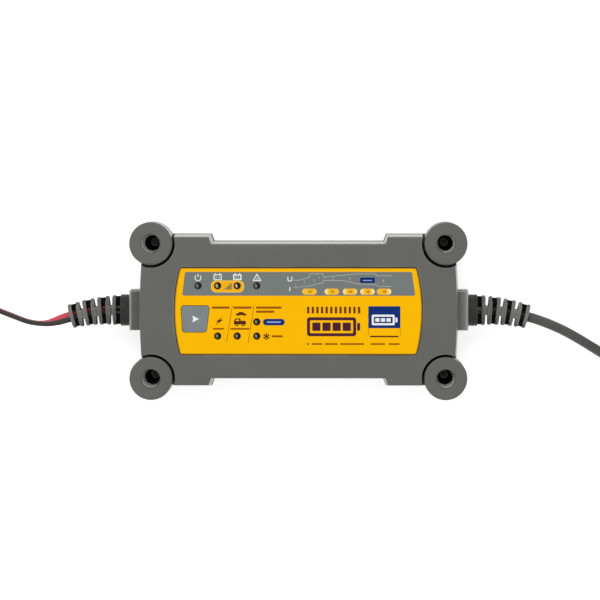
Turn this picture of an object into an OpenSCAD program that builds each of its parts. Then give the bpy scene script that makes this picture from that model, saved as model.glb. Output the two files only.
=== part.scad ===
// Car battery charger: a flat two-shell housing with four screw posts, a film
// label with indicator lamps and a mode key on its front, and a lead at each end.
// It lies on its back: +Z is the front face, +X the mains end, +Y the top edge.
// The origin is the middle of the housing on the surface that it rests on.

/* [Housing] */
// Thickness of the closed housing, back to front
housing_depth = 55; // [52:0.5:64]
// Height of the base shell, up to the parting line
base_height = 27.5; // [24:0.5:31]
// Half the length of the front face at its middle
face_half_length = 89.3; // [87.5:0.1:91]
// Radius of the bowed ends of the face
end_bow_radius = 375; // [250:5:700]
// Half the width of the face beside the posts
face_half_width = 41.9; // [41:0.1:44]
// Half the width of the face at its waist
waist_half_width = 37.9; // [37:0.1:40]
// Half the length of the waist
waist_half_length = 49; // [46:0.5:52]
// Run of the slanted step from the waist to the ends
step_run = 1.4; // [0.8:0.1:3]
// Wall of both shells
wall = 2.4; // [1.8:0.1:2.8]
// Front plate of the cover and floor of the base
plate = 2.5; // [2:0.1:3.2]
// Draft of the outer walls away from the parting line, in degrees
draft_angle = 3; // [1:0.25:4]
// Rounding of the outer edges
edge_round = 1; // [0.5:0.1:1.4]
// Gap between the two shells at the parting line
parting_gap = 0.4; // [0.2:0.1:0.6]

/* [Screw posts] */
// Spacing of the mounting holes along the housing
hole_spacing_x = 166; // [164:0.5:170]
// Spacing of the mounting holes across the housing
hole_spacing_y = 76; // [74:0.5:80]
// Radius of each post
post_radius = 12.2; // [11.5:0.1:13]
// Gap round each post, where the cover is scalloped
post_gap = 1.5; // [0.8:0.1:1.8]
// Diameter of the mounting hole at the back
mount_hole_d = 4.8; // [4:0.1:6]
// Diameter of the counterbore that the screw head drops into
counterbore_d = 8.6; // [7:0.1:9.2]
// Diameter of the counterbore at its flared mouth
mouth_d = 10.2; // [9.6:0.1:12]
// Depth of the flared mouth
mouth_depth = 23; // [20:0.5:30]
// Depth of the whole counterbore
counterbore_depth = 48; // [40:0.5:50]

/* [Glands] */
// Reach of each gland block from the middle of the housing
gland_reach = 96.2; // [95:0.2:99]
// Width of the gland block, and its height about the parting line
gland_size = 22; // [20.5:0.5:26]
// Height of the gland block's underside above the back
gland_foot = 8; // [6:0.5:16]
// Offset of both glands from the middle of the ends
gland_offset = -0.4; // [-2:0.1:2]
// Rounding of the block's outer corners
gland_round = 2.4; // [1:0.2:3]

/* [Strain reliefs] */
// Radius of the neck that the shells clamp
neck_radius = 6.5; // [5.6:0.1:7.4]
// Radius of the flange inside the gland
flange_radius = 9; // [8:0.1:10]
// Thickness of the flange
flange_thick = 2.3; // [1.5:0.1:3]
// Diameter of the collar outside the gland
collar_d = 18.2; // [17:0.1:18.4]
// Length of the collar
collar_length = 5.3; // [4:0.1:7]
// Diameter of the first ring
first_ring_d = 17; // [15.5:0.1:17.6]
// Diameter of the last ring
last_ring_d = 13.9; // [11.5:0.1:14]
// Rings beyond the collar
ring_count = 7; // [3:2:9]
// Length of each ring
ring_length = 2.1; // [1.6:0.1:2.8]
// Length of the slots that open towards the front and back
front_slot = 2.4; // [1.8:0.1:3]
// Length of the slots that open towards the sides
side_slot = 1.6; // [1.2:0.05:2.4]
// Width of the webs in front and behind
web_width = 4.8; // [4:0.1:6.4]
// Width of the webs on the sides
side_web_width = 3; // [2:0.1:4]
// Thickness of the webs that close the front slots at the back
back_web_thick = 1.6; // [1.2:0.1:2.2]
// Radius of the bend at rest
relief_bend_radius = 102; // [90:1:400]
// Length of the straight part of the relief
relief_straight = 6.8; // [5:0.1:10]
// Bore for the lead
relief_bore_d = 6.5; // [6.2:0.1:7.2]

/* [Label, key and lamps] */
// Half the length of the film label at its middle
label_half_length = 69.5; // [68:0.1:71]
// Half the width of the film label
label_half_width = 24.3; // [23.6:0.1:26]
// Radius of the label's bowed ends
label_bow_radius = 94; // [80:1:160]
// Corner radius of the label
label_corner = 2; // [1:0.1:3]
// Thickness of the label film
label_thick = 0.4; // [0.2:0.05:0.45]
// Depth of the recess that holds the label
label_recess = 0.5; // [0.4:0.05:0.8]
// Margin between the label and the edge of its recess
label_margin = 0.8; // [0.6:0.1:1.2]
// Width of the groove round the label
label_groove = 0.5; // [0.3:0.05:0.55]
// Depth of the groove round the label, from the front face
label_groove_depth = 1.3; // [0.9:0.1:1.6]
// First lamp column, from the middle of the label
first_lamp_x = -56.3; // [-57:0.1:-55.6]
// Pitch of the lamp columns
lamp_pitch = 11; // [10.5:0.1:11.4]
// Height of the upper row of lamps
upper_lamp_y = 14.3; // [13.6:0.1:15]
// Height of the lower row of lamps
lower_lamp_y = -14; // [-15:0.1:-13.4]
// Height of the single lamp above the lower row
refresh_lamp_y = -6; // [-7:0.1:-5]
// Diameter of a lamp's dome
lamp_d = 3; // [2.8:0.1:3.4]
// Diameter of the holes in the label over the lamps
lamp_hole_d = 4.2; // [3.8:0.1:4.6]
// Middle of the mode key along the label
key_x = -57.9; // [-58.6:0.1:-57.2]
// Middle of the mode key across the label
key_y = -4.4; // [-5:0.1:-3.8]
// Length of the key's upper edge
key_length = 15.7; // [15:0.1:16.4]
// Width of the key
key_width = 14.6; // [14:0.1:15.2]
// Corner radius of the key
key_corner = 1.4; // [0.8:0.1:2]
// Clearance round the key in the cover
key_gap = 0.35; // [0.25:0.05:0.5]
// Travel of the key
key_travel = 0.7; // [0.4:0.05:0.9]
// Height of the key above the label
key_rise = 0.3; // [0.1:0.05:0.5]
// Height of the row of stage windows
window_y = 11; // [10.5:0.1:11.5]
// Length of a stage window
window_length = 8.2; // [7.6:0.1:8.4]
// Width of a stage window
window_width = 3.5; // [3:0.1:4]

/* [Circuit boards] */
// Thickness of both boards
board_thick = 1.6; // [1.2:0.1:2]
// Length of the main board
main_board_length = 128; // [122:0.5:130]
// Width of the main board
main_board_width = 58; // [54:0.5:59]
// Height of the main board's underside above the floor
main_board_rise = 6.5; // [5:0.25:8]
// Length of the control board
control_board_length = 132; // [130:0.5:134]
// Width of the control board
control_board_width = 46; // [44:0.5:48]
// Distance of the control board's underside from the front face
control_board_depth = 10; // [9.8:0.1:11]

/* [Leads] */
// Diameter of the round mains cord
mains_d = 5.7; // [5.4:0.1:6]
// Diameter of one conductor of the flat battery lead
conductor_d = 3; // [2.6:0.1:3.1]
// Middle radius of the coiled turns
coil_radius = 34; // [33:0.5:35]
// Turns in each of the mains coil's two layers
mains_turns = 3.57; // [3:0.01:4]
// Turns in each of the battery lead coil's two layers
battery_turns = 3.75; // [3:0.01:4.5]
// Pitch of the battery lead's turns
battery_pitch = 3.2; // [3.2:0.05:3.5]

/* [Plug and connector] */
// Width of the mains plug across its pins
plug_width = 35.3; // [34:0.1:37]
// Thickness of the mains plug
plug_thick = 13.7; // [13:0.1:15]
// Length of the plug's moulded body
plug_length = 30; // [26:0.5:36]
// Spacing of the plug's pins
pin_spacing = 18.6; // [17.5:0.1:19]
// Diameter of the plug's pins
pin_d = 4; // [3.8:0.05:4.2]
// Length of the plug's pins beyond the body
pin_length = 19; // [18:0.5:20]
// Width of the battery connector
connector_width = 15; // [14:0.1:17]
// Thickness of the battery connector
connector_thick = 7.6; // [7.4:0.1:9]
// Length of the battery connector's body
connector_length = 18; // [15:0.5:24]
// Spacing of the battery connector's two poles
pole_spacing = 7.4; // [7.2:0.1:8]
// Diameter of the bare pole
pole_d = 4; // [3.4:0.1:4.2]
// Length of the bare pole and of the shroud beside it
pole_length = 10; // [8:0.5:14]

/* [Hidden] */
$fn = 64;

// Overlap that makes a cut run clear through
eps = 0.1;
// Clearance of screws in their holes and of pieces in their seats
fit_gap = 0.1;
// Rounding of a mains-type moulded edge
soft_edge = 0.6;

grey_plastic = [0.36, 0.36, 0.34];
board_green = [0.10, 0.34, 0.18];
metal = [0.75, 0.75, 0.76];
black = [0.06, 0.06, 0.06];

// Heights that several pieces share
face_z = housing_depth;
inside_face_z = housing_depth - plate;
label_z = housing_depth - label_recess;
label_top = label_z + label_thick;
control_z = housing_depth - control_board_depth;
control_top = control_z + board_thick;
main_z = plate + main_board_rise;
main_top = main_z + board_thick;
cover_bottom = base_height + parting_gap / 2;
base_top = base_height - parting_gap / 2;
gland_z = base_height;
post_x = hole_spacing_x / 2;
post_y = hole_spacing_y / 2;
scallop_radius = post_radius + post_gap;

// Housing screws, driven from the back beside the posts
screw_x = 60;
screw_y = 35;
screw_tube_radius = 3.8;
screw_head_radius = 2.9;
screw_head_seat = 6;
screw_head_height = 2.6;
screw_radius = 1.5;
screw_bite = 13;

// Board screws
board_screw_radius = 1.25;
board_screw_head = 2.3;
board_screw_head_height = 1.5;
main_screw_x = main_board_length / 2 - 8;
main_screw_y = main_board_width / 2 - 5;
standoff_radius = 3;
control_screw_x = control_board_length / 2 - 4.5;
control_screw_y = control_board_width / 2 - 3;
control_post_radius = 2.4;
control_screw_bite = 3.6;

seal_width = 0.9;
seal_half_height = 1;

lamp_positions = [
    [first_lamp_x, upper_lamp_y], [first_lamp_x + lamp_pitch, upper_lamp_y],
    [first_lamp_x + 2 * lamp_pitch, upper_lamp_y], [first_lamp_x + 3 * lamp_pitch, upper_lamp_y],
    [first_lamp_x + lamp_pitch, lower_lamp_y], [first_lamp_x + 2 * lamp_pitch, lower_lamp_y],
    [first_lamp_x + 3 * lamp_pitch, refresh_lamp_y], [first_lamp_x + 3 * lamp_pitch, lower_lamp_y]
];
window_positions = [6.3, 18.9, 29.1, 38.9, 48.2];

// ---------------------------------------------------------------- outlines

// Inset of the drafted side wall at height z, counted from the flat part of the face
function wall_inset(z) =
    let (parting_inset = -(housing_depth - edge_round - base_height) * tan(draft_angle))
    parting_inset + abs(z - base_height) * tan(draft_angle);

// Outline of the face without its posts, moved in by inset
function face_outline(inset) =
    let (
        half = face_half_width - inset,
        waist = waist_half_width - inset,
        rise = face_half_width - waist_half_width,
        slope = (sqrt(step_run * step_run + rise * rise) - step_run) / rise * inset,
        bow = end_bow_radius - inset,
        steps = 10,
        end = [for (i = [0:steps])
            let (y = -half + 2 * half * i / steps)
            [face_half_length - end_bow_radius + sqrt(bow * bow - y * y), y]],
        inner = waist_half_length + slope,
        outer = inner + step_run
    )
    concat(
        end,
        [[outer, half], [inner, waist], [-inner, waist], [-outer, half]],
        [for (p = end) [-p[0], -p[1]]],
        [[-outer, -half], [-inner, -waist], [inner, -waist], [outer, -half]]
    );

// Solid through outlines at several levels, each level being [height, inset]
module loft(levels) {
    rings = [for (level = levels) [for (p = face_outline(level[1])) [p[0], p[1], level[0]]]];
    count = len(rings[0]);
    last = len(rings) - 1;
    side = count / 2 - 4;
    // The cap is three convex faces: one for each end and one across the waist
    cap = [
        concat([for (i = [0:side + 1]) i], [count - 2, count - 1]),
        [side + 1, side + 2, count - 3, count - 2],
        [for (i = [side + 2:count - 3]) i]
    ];
    polyhedron(
        points = [for (ring = rings) each ring],
        faces = concat(
            cap,
            [for (face = cap) [for (k = [len(face) - 1:-1:0]) last * count + face[k]]],
            [for (r = [0:last - 1], i = [0:count - 1])
                let (j = (i + 1) % count)
                each [[r * count + i, (r + 1) * count + i, (r + 1) * count + j],
                      [r * count + i, (r + 1) * count + j, r * count + j]]]
        )
    );
}

module at_posts() {
    for (sx = [-1, 1], sy = [-1, 1]) translate([sx * post_x, sy * post_y, 0]) children();
}

module at_corners(x, y) {
    for (sx = [-1, 1], sy = [-1, 1]) translate([sx * x, sy * y, 0]) children();
}

// Room inside the shells, which keeps a wall round each scallop
module cavity(z0, z1) {
    difference() {
        translate([0, 0, z0]) linear_extrude(z1 - z0) polygon(face_outline(wall));
        at_posts() translate([0, 0, z0 - eps])
            cylinder(r = scallop_radius + wall, h = z1 - z0 + 2 * eps);
    }
}

// Ring for the seal, from the outer wall and round the scallops
module seal_band(z0, z1) {
    translate([0, 0, z0]) linear_extrude(z1 - z0) difference() {
        seal_outline((wall - seal_width) / 2);
        seal_outline((wall + seal_width) / 2);
        for (side = [-1, 1])
            translate([side * gland_reach, gland_offset])
                square([2 * (gland_reach - face_half_length + 2 * wall), gland_size], center = true);
    }
}

module seal_outline(inset) {
    difference() {
        polygon(face_outline(inset));
        for (sx = [-1, 1], sy = [-1, 1]) translate([sx * post_x, sy * post_y])
            circle(r = scallop_radius + inset);
    }
}

// Block at each end that clamps a strain relief, rounded towards its outer end and
// drafted on its sides above the parting line
module gland_block() {
    inner = face_half_length - wall - 1;
    half = gland_size / 2;
    broad = half + half * tan(draft_angle);
    foot = gland_foot - gland_z;
    r = gland_round;
    profile = concat(
        [[inner, foot]],
        [for (a = [-90:15:0]) [gland_reach - r + r * cos(a), foot + r + r * sin(a)]],
        [for (a = [0:15:90]) [gland_reach - r + r * cos(a), half - r + r * sin(a)]],
        [[inner, half]]
    );
    translate([0, gland_offset, gland_z]) intersection() {
        translate([0, broad, 0]) rotate([90, 0, 0]) linear_extrude(2 * broad) polygon(profile);
        rotate([90, 0, 90]) linear_extrude(2 * gland_reach) polygon([
            [-broad, foot - eps], [broad, foot - eps], [broad, 0],
            [half, half + eps], [-half, half + eps], [-broad, 0]]);
    }
}

module gland_blocks() {
    gland_block();
    mirror([1, 0, 0]) gland_block();
}

module gland_bores() {
    for (side = [-1, 1])
        translate([side * (face_half_length - 4 * wall), gland_offset, gland_z])
            rotate([0, side * 90, 0])
                cylinder(r = neck_radius + fit_gap, h = gland_reach - face_half_length + 4 * wall + eps);
}

// ------------------------------------------------------------------ shells

// One screw post with its flared counterbore and its mounting hole, drafted below
// the parting line
module post() {
    seat = housing_depth - counterbore_depth;
    lip = 0.4;
    foot_radius = post_radius - base_height * tan(draft_angle);
    rotate_extrude() polygon([
        [mount_hole_d / 2, 0], [foot_radius - lip, 0], [foot_radius, lip],
        [post_radius, base_height], [post_radius, housing_depth - edge_round],
        [post_radius - edge_round * 0.3, housing_depth - edge_round * 0.3],
        [post_radius - edge_round, housing_depth],
        [mouth_d / 2 + lip, housing_depth], [mouth_d / 2, housing_depth - lip],
        [counterbore_d / 2, housing_depth - mouth_depth],
        [counterbore_d / 2, seat], [mount_hole_d / 2, seat]
    ]);
}

module screw_tube() {
    cylinder(r = screw_tube_radius, h = base_top);
}

module base_shell() color(grey_plastic) {
    foot = edge_round;
    difference() {
        union() {
            difference() {
                union() {
                    loft([
                        [0, wall_inset(foot) + foot],
                        [foot * 0.3, wall_inset(foot) + foot * 0.3],
                        [foot, wall_inset(foot)],
                        [base_top, wall_inset(base_top)]
                    ]);
                    intersection() {
                        gland_blocks();
                        translate([-2 * gland_reach, -gland_reach, 0])
                            cube([4 * gland_reach, 2 * gland_reach, base_top]);
                    }
                }
                cavity(plate, base_height);
                gland_bores();
                seal_band(base_height - seal_half_height, base_height);
                at_posts() translate([0, 0, -eps])
                    cylinder(r = post_radius - wall, h = base_height + 2 * eps);
            }
            at_corners(main_screw_x, main_screw_y)
                translate([0, 0, plate - eps]) cylinder(r = standoff_radius, h = main_board_rise + eps);
            at_corners(screw_x, screw_y) screw_tube();
        }
        at_corners(main_screw_x, main_screw_y)
            translate([0, 0, plate + 1]) cylinder(r = board_screw_radius, h = main_board_rise);
        at_corners(screw_x, screw_y) {
            translate([0, 0, -eps]) cylinder(r = screw_head_radius + fit_gap, h = screw_head_seat + eps);
            cylinder(r = screw_radius + fit_gap, h = base_height);
        }
    }
    at_posts() post();
}

module front_cover() color(grey_plastic) {
    difference() {
        union() {
            difference() {
                union() {
                    loft(concat(
                        [[cover_bottom, wall_inset(cover_bottom)]],
                        [for (a = [0:30:90]) [
                            housing_depth - edge_round + edge_round * sin(a),
                            wall_inset(housing_depth - edge_round) + edge_round * (1 - cos(a))]]
                    ));
                    intersection() {
                        gland_blocks();
                        translate([-2 * gland_reach, -gland_reach, cover_bottom])
                            cube([4 * gland_reach, 2 * gland_reach, housing_depth]);
                    }
                }
                cavity(base_height, inside_face_z);
                gland_bores();
                seal_band(base_height, base_height + seal_half_height);
            }
            at_corners(control_screw_x, control_screw_y) translate([0, 0, control_top])
                cylinder(r = control_post_radius, h = inside_face_z - control_top + eps);
            at_corners(screw_x, screw_y) translate([0, 0, cover_bottom])
                cylinder(r = screw_tube_radius, h = inside_face_z - cover_bottom + eps);
        }
        at_posts() translate([0, 0, -eps]) cylinder(r = scallop_radius, h = housing_depth + 2 * eps);
        at_corners(control_screw_x, control_screw_y) translate([0, 0, control_top - eps])
            cylinder(r = board_screw_radius, h = control_screw_bite + eps);
        at_corners(screw_x, screw_y) translate([0, 0, cover_bottom - eps])
            cylinder(r = screw_radius, h = screw_bite);
        translate([0, 0, label_z]) linear_extrude(label_recess + eps) label_shape(label_margin);
        translate([0, 0, housing_depth - label_groove_depth])
            linear_extrude(label_groove_depth) difference() {
                label_shape(label_groove);
                label_shape(-fit_gap);
            }
        translate([0, 0, inside_face_z - eps]) linear_extrude(plate) key_shape(key_gap);
        for (p = lamp_positions) translate([p[0], p[1], inside_face_z - eps])
            cylinder(d = lamp_hole_d + 0.4, h = plate);
        for (x = window_positions) translate([x, window_y, inside_face_z - eps])
            pill(window_length + 2 * fit_gap, window_width + 2 * fit_gap, plate);
    }
}

module housing_seal() color(black) {
    seal_band(base_height - seal_half_height, base_height + seal_half_height);
}

module housing_screws() color(metal) at_corners(screw_x, screw_y) {
    translate([0, 0, screw_head_seat - screw_head_height])
        cylinder(r = screw_head_radius, h = screw_head_height);
    translate([0, 0, screw_head_seat - eps])
        cylinder(r = screw_radius, h = cover_bottom + screw_bite - 1 - screw_head_seat);
}

// ----------------------------------------------------- label, key and lamps

// Outline of the label, with bowed ends, grown outwards by margin
module label_shape(margin) {
    half = label_half_width + margin;
    bow = label_bow_radius + margin;
    r = label_corner + margin;
    offset(r = r, $fn = 24) intersection() {
        square([4 * half + label_half_length, 2 * (half - r)], center = true);
        polygon([for (side = [1, -1], i = [-8:8])
            let (y = side * i * half / 8)
            [side * (label_half_length - label_bow_radius + sqrt(bow * bow - y * y) - r), y]]);
    }
}

// Outline of the key: a plate that narrows to its lower edge
module key_shape(margin) {
    half_w = key_width / 2;
    left = -key_length / 2;
    r = key_corner;
    translate([key_x, key_y]) offset(r = r + margin, $fn = 24) offset(delta = -r)
        polygon([[left, half_w], [left + 0.7, -half_w], [-left - 1.8, -half_w], [-left, half_w]]);
}

module pill(length, width, height) {
    linear_extrude(height) {
        square([length - width, width], center = true);
        for (side = [-1, 1]) translate([side * (length - width) / 2, 0]) circle(d = width, $fn = 32);
    }
}

module front_label() color([0.98, 0.74, 0.02]) difference() {
    translate([0, 0, label_z]) linear_extrude(label_thick) label_shape(0);
    translate([0, 0, label_z - eps]) linear_extrude(2 * label_thick) key_shape(key_gap);
    for (p = lamp_positions) translate([p[0], p[1], label_z - eps])
        cylinder(d = lamp_hole_d, h = 2 * label_thick, $fn = 32);
    for (x = window_positions) translate([x, window_y, label_z - eps])
        pill(window_length + 2 * fit_gap, window_width + 2 * fit_gap, 2 * label_thick);
}

// The switch stands under the key, which rests on its sprung plunger
key_flange_gap = 0.3;
key_flange = 1;
key_bottom = inside_face_z - key_flange_gap - key_flange;
plunger_radius = 1.7;
switch_size = 6;
switch_height = key_bottom - control_top - key_travel - 0.3;
switch_floor = 0.8;

module mode_key() color([0.50, 0.52, 0.53]) {
    translate([0, 0, key_bottom]) linear_extrude(key_flange) key_shape(1);
    translate([0, 0, key_bottom + key_flange / 2])
        linear_extrude(label_top + key_rise - key_bottom - key_flange / 2) key_shape(0);
}

module switch_plunger() color(black)
    translate([key_x, key_y, control_top + switch_floor + key_travel + 0.2])
        cylinder(r = plunger_radius, h = key_bottom - control_top - switch_floor - key_travel - 0.2);

module mode_switch() color(metal) translate([key_x, key_y, control_top]) difference() {
    translate([-switch_size / 2, -switch_size / 2, 0]) cube([switch_size, switch_size, switch_height]);
    translate([0, 0, switch_floor]) cylinder(r = plunger_radius + fit_gap, h = switch_height);
}

// Lamp with its spacer, its collar and its domed lens
module lamp(i, tint) color(tint)
    translate([lamp_positions[i][0], lamp_positions[i][1], control_top]) {
        r = lamp_d / 2;
        top = label_z - control_top;
        collar = top - 4.2;
        rotate_extrude($fn = 32) polygon(concat(
            [[0, 0], [r + 0.5, 0], [r + 0.5, collar - 0.9], [r + 0.35, collar - 0.9],
             [r + 0.35, collar], [r, collar], [r, top - r]],
            [for (a = [15:15:90]) [r * cos(a), top - r + r * sin(a)]]
        ));
    }

// Light guide of one charging stage, with a flange behind the cover
module stage_window(i) color([0.98, 0.85, 0.45])
    translate([window_positions[i], window_y, 0]) {
        translate([0, 0, inside_face_z - 1]) pill(window_length + 0.6, window_width + 1.4, 1);
        translate([0, 0, inside_face_z - eps])
            pill(window_length, window_width, label_top - inside_face_z + eps);
        translate([0, 0, control_top + 1.6])
            cylinder(d = 3, h = inside_face_z - 1 - control_top - 1.6 + eps, $fn = 24);
    }

module stage_lamps() color([0.95, 0.95, 0.85])
    for (x = window_positions) translate([x - 1.6, window_y - 0.8, control_top]) cube([3.2, 1.6, 1.3]);

// ------------------------------------------------------------------ boards

module control_board() color(board_green) difference() {
    translate([-control_board_length / 2, -control_board_width / 2, control_z])
        cube([control_board_length, control_board_width, board_thick]);
    at_corners(control_screw_x, control_screw_y) translate([0, 0, control_z - eps])
        cylinder(r = board_screw_radius + fit_gap, h = 2 * board_thick);
}

module control_board_screws() color(metal) at_corners(control_screw_x, control_screw_y) {
    translate([0, 0, control_z - board_screw_head_height])
        cylinder(r = board_screw_head, h = board_screw_head_height, $fn = 32);
    translate([0, 0, control_z - eps])
        cylinder(r = board_screw_radius - fit_gap / 2, h = board_thick + control_screw_bite - 0.4, $fn = 32);
}

module main_board() color(board_green) difference() {
    translate([-main_board_length / 2, -main_board_width / 2, main_z])
        cube([main_board_length, main_board_width, board_thick]);
    at_corners(main_screw_x, main_screw_y) translate([0, 0, main_z - eps])
        cylinder(r = board_screw_radius + fit_gap, h = 2 * board_thick);
}

module main_board_screws() color(metal) at_corners(main_screw_x, main_screw_y) {
    translate([0, 0, main_top]) cylinder(r = board_screw_head, h = board_screw_head_height, $fn = 32);
    translate([0, 0, plate + 1.4])
        cylinder(r = board_screw_radius - fit_gap / 2, h = main_top - plate - 1.3, $fn = 32);
}

// Flat cable between two headers that joins the boards
module board_link() color([0.82, 0.82, 0.80]) {
    x = 16 - control_board_length / 2;
    y = 6 - control_board_width / 2;
    header = 8;
    for (z = [main_top, control_z - header])
        translate([x - 9, y - 2.5, z]) cube([18, 5, header]);
    translate([x - 7.5, y - 0.5, main_top + header - eps])
        cube([15, 1, control_z - main_top - 2 * header + 2 * eps]);
}

// -------------------------------------------------------------- components

module on_board(x, y) translate([x, y, main_top]) children();

module mains_fuse() on_board(57, 9) {
    for (side = [-1, 1]) translate([0, side * 7.6, 0]) {
        color(metal) translate([-1.5, -1, 0]) cube([3, 2, 2]);
        color(metal) translate([0, 0, 4]) rotate([90, 0, 0]) cylinder(r = 2.6, h = 5, center = true);
    }
    color([0.9, 0.9, 0.88]) translate([0, 0, 4]) rotate([90, 0, 0])
        cylinder(r = 2.3, h = 16, center = true);
}

module filter_capacitor() color([0.85, 0.75, 0.20]) on_board(42, 19)
    translate([-9, -4, 0]) cube([18, 8, 15]);

// Ring core with its copper winding as one fat torus in a plastic cup
module input_choke() color([0.72, 0.40, 0.16]) on_board(44, -13) {
    translate([0, 0, 1.2]) rotate_extrude() translate([7.5, 5]) circle(r = 4.4, $fn = 32);
    difference() {
        cylinder(r = 12, h = 2);
        translate([0, 0, -eps]) cylinder(r = 4, h = 3);
    }
}

module bridge_rectifier() color(black) on_board(24.5, 19)
    translate([-7.5, -2, 0]) cube([15, 4, 14]);

module can(r, h) rotate_extrude() polygon([
    [0, 0], [r, 0], [r, 3], [r - 0.5, 3.6], [r, 4.2], [r, h - 1],
    [r - 0.6, h], [r - 1.6, h], [r - 1.6, h - 0.5], [0, h - 0.5]
]);

module bulk_capacitor() color([0.08, 0.10, 0.20]) on_board(23, -15) can(9, 25);

module output_capacitors() color([0.08, 0.10, 0.20]) {
    on_board(-33, 4) can(6.25, 20);
    on_board(-33, 18) can(6.25, 20);
}

// Two E-shaped ferrite halves closed round the winding
core_length = 30;
core_width = 12;
core_height = 25;
core_leg = 5.5;
core_centre = 10;
core_lift = 1.5;

module transformer_core() color([0.18, 0.18, 0.19]) on_board(-1, 0)
    translate([0, 0, core_lift]) difference() {
        translate([-core_length / 2, -core_width / 2, 0]) cube([core_length, core_width, core_height]);
        for (side = [-1, 1])
            translate([side * (core_centre / 2 + core_length / 2 - core_leg) / 2, 0, core_height / 2])
                cube([core_length / 2 - core_leg - core_centre / 2, core_width + 2 * eps,
                      core_height - 2 * core_leg], center = true);
    }

module transformer_winding() color([0.80, 0.62, 0.15]) on_board(-1, 0) {
    window = core_length / 2 - core_leg - core_centre / 2;
    half_x = core_centre / 2 + window - 0.2;
    half_y = core_width / 2 + window;
    height = core_height - 2 * core_leg - 0.4;
    translate([0, 0, core_lift + core_leg + 0.2]) linear_extrude(height) difference() {
        square([2 * half_x, 2 * half_y], center = true);
        square([core_centre + 0.2, core_width + 0.2], center = true);
    }
    for (side = [-1, 1]) translate([-half_x, side * (half_y - 1) - 1, 0])
        cube([2 * half_x, 2, core_lift + core_leg + 0.3]);
}

// Comb-shaped aluminium strip that stands on the board
module heatsink(length) {
    fins = 5;
    pitch = (length - 1.2) / (fins - 1);
    translate([-length / 2, 0, 0]) {
        cube([length, 1.8, 24]);
        for (i = [0:fins - 1]) translate([i * pitch, 1.7, 0]) cube([1.2, 4.2, 24]);
    }
}

module transistor_package() {
    translate([-5, -4.4, 3]) cube([10, 4.4, 9]);
    translate([-5, -1.2, 11.9]) cube([10, 1.2, 6.4]);
    for (i = [-1:1]) translate([i * 2.5 - 0.4, -2.8, 0]) cube([0.8, 0.6, 3.1]);
}

module primary_heatsink() color(metal) on_board(0, 22) heatsink(26);
module power_transistor() color(black) on_board(0, 22) transistor_package();
module secondary_heatsink() color(metal) on_board(-20, -22) mirror([0, 1, 0]) heatsink(30);
module output_diode() color(black) on_board(-20, -22) mirror([0, 1, 0]) transistor_package();

module output_relay() color([0.10, 0.25, 0.55]) on_board(-50, 8)
    translate([-7.5, -9.5, 0]) cube([15, 19, 15]);

// ---------------------------------------------------------- strain reliefs

// Point on the relief's middle line, s millimetres out from the gland
function relief_angle(s) = max(0, s - relief_straight) / relief_bend_radius * 180 / PI;
function relief_point(s) =
    let (a = relief_angle(s), straight = min(s, relief_straight))
    [gland_reach + straight + relief_bend_radius * sin(a),
     gland_offset - relief_bend_radius * (1 - cos(a)), gland_z];

module along_relief(s) {
    translate(relief_point(s)) rotate([0, 0, -relief_angle(s)]) rotate([0, 90, 0]) children();
}

// Ring round the lead with its edges broken
module relief_ring(d, length) {
    r = d / 2;
    chamfer = 0.45;
    rotate_extrude($fn = 48) polygon([
        [relief_bore_d / 2, -length / 2], [r - chamfer, -length / 2], [r, chamfer - length / 2],
        [r, length / 2 - chamfer], [r - chamfer, length / 2], [relief_bore_d / 2, length / 2]
    ]);
}

function slot_length(i) = i % 2 == 0 ? front_slot : side_slot;
function ring_d(i) = first_ring_d + (last_ring_d - first_ring_d) * i / (ring_count - 1);
// Middle of ring i, and of the slot before it, along the relief
function ring_s(i) = slot_s(i) + (slot_length(i) + ring_length) / 2;
function slot_s(i) = i == 0 ? collar_length + slot_length(0) / 2
    : ring_s(i - 1) + (ring_length + slot_length(i)) / 2;
relief_length = ring_s(ring_count - 1) + ring_length / 2;

// Webs of slot i: on the sides where it opens to the front, in front where it opens sideways
module relief_webs(i) {
    on_sides = i % 2 == 0;
    length = slot_length(i) + 0.8;
    outer = ring_d(i) / 2 - 0.5;
    inner = relief_bore_d / 2 + (on_sides ? -0.05 : 0.2);
    width = on_sides ? side_web_width : web_width;
    along_relief(slot_s(i)) for (side = [0, 180]) rotate([0, 0, side + (on_sides ? 90 : 0)])
        translate([inner, -width / 2, -length / 2]) cube([outer - inner, width, length]);
    if (on_sides) along_relief(slot_s(i))
        translate([relief_bore_d / 2 + 0.2, -relief_bore_d / 2 - 0.3, -length / 2])
            cube([back_web_thick, relief_bore_d + 0.6, length]);
}

module strain_relief() {
    inside = face_half_length - wall - 1;
    bore = relief_bore_d / 2;
    collar = collar_d / 2;
    groove = 0.35;
    translate([0, gland_offset, gland_z]) rotate([0, 90, 0]) rotate_extrude($fn = 48) polygon(concat(
        [[bore, inside - flange_thick], [flange_radius, inside - flange_thick],
         [flange_radius, inside], [neck_radius, inside],
         [neck_radius, gland_reach], [collar - groove, gland_reach]],
        [for (i = [0:3]) each [
            [collar, gland_reach + (i + 0.3) * collar_length / 4],
            [collar - groove, gland_reach + (i + 0.95) * collar_length / 4]]],
        [[bore, gland_reach + 0.95 * collar_length]]
    ));
    for (i = [0:ring_count - 1]) {
        along_relief(ring_s(i)) relief_ring(ring_d(i), ring_length);
        relief_webs(i);
    }
}

module mains_strain_relief() color(black) strain_relief();
module battery_strain_relief() color(black) mirror([1, 0, 0]) strain_relief();

// ------------------------------------------------------------------- leads

lead_start = 8;
landing_x = 61;
landing_y = 1.5;
wire_start = 80;

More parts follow.
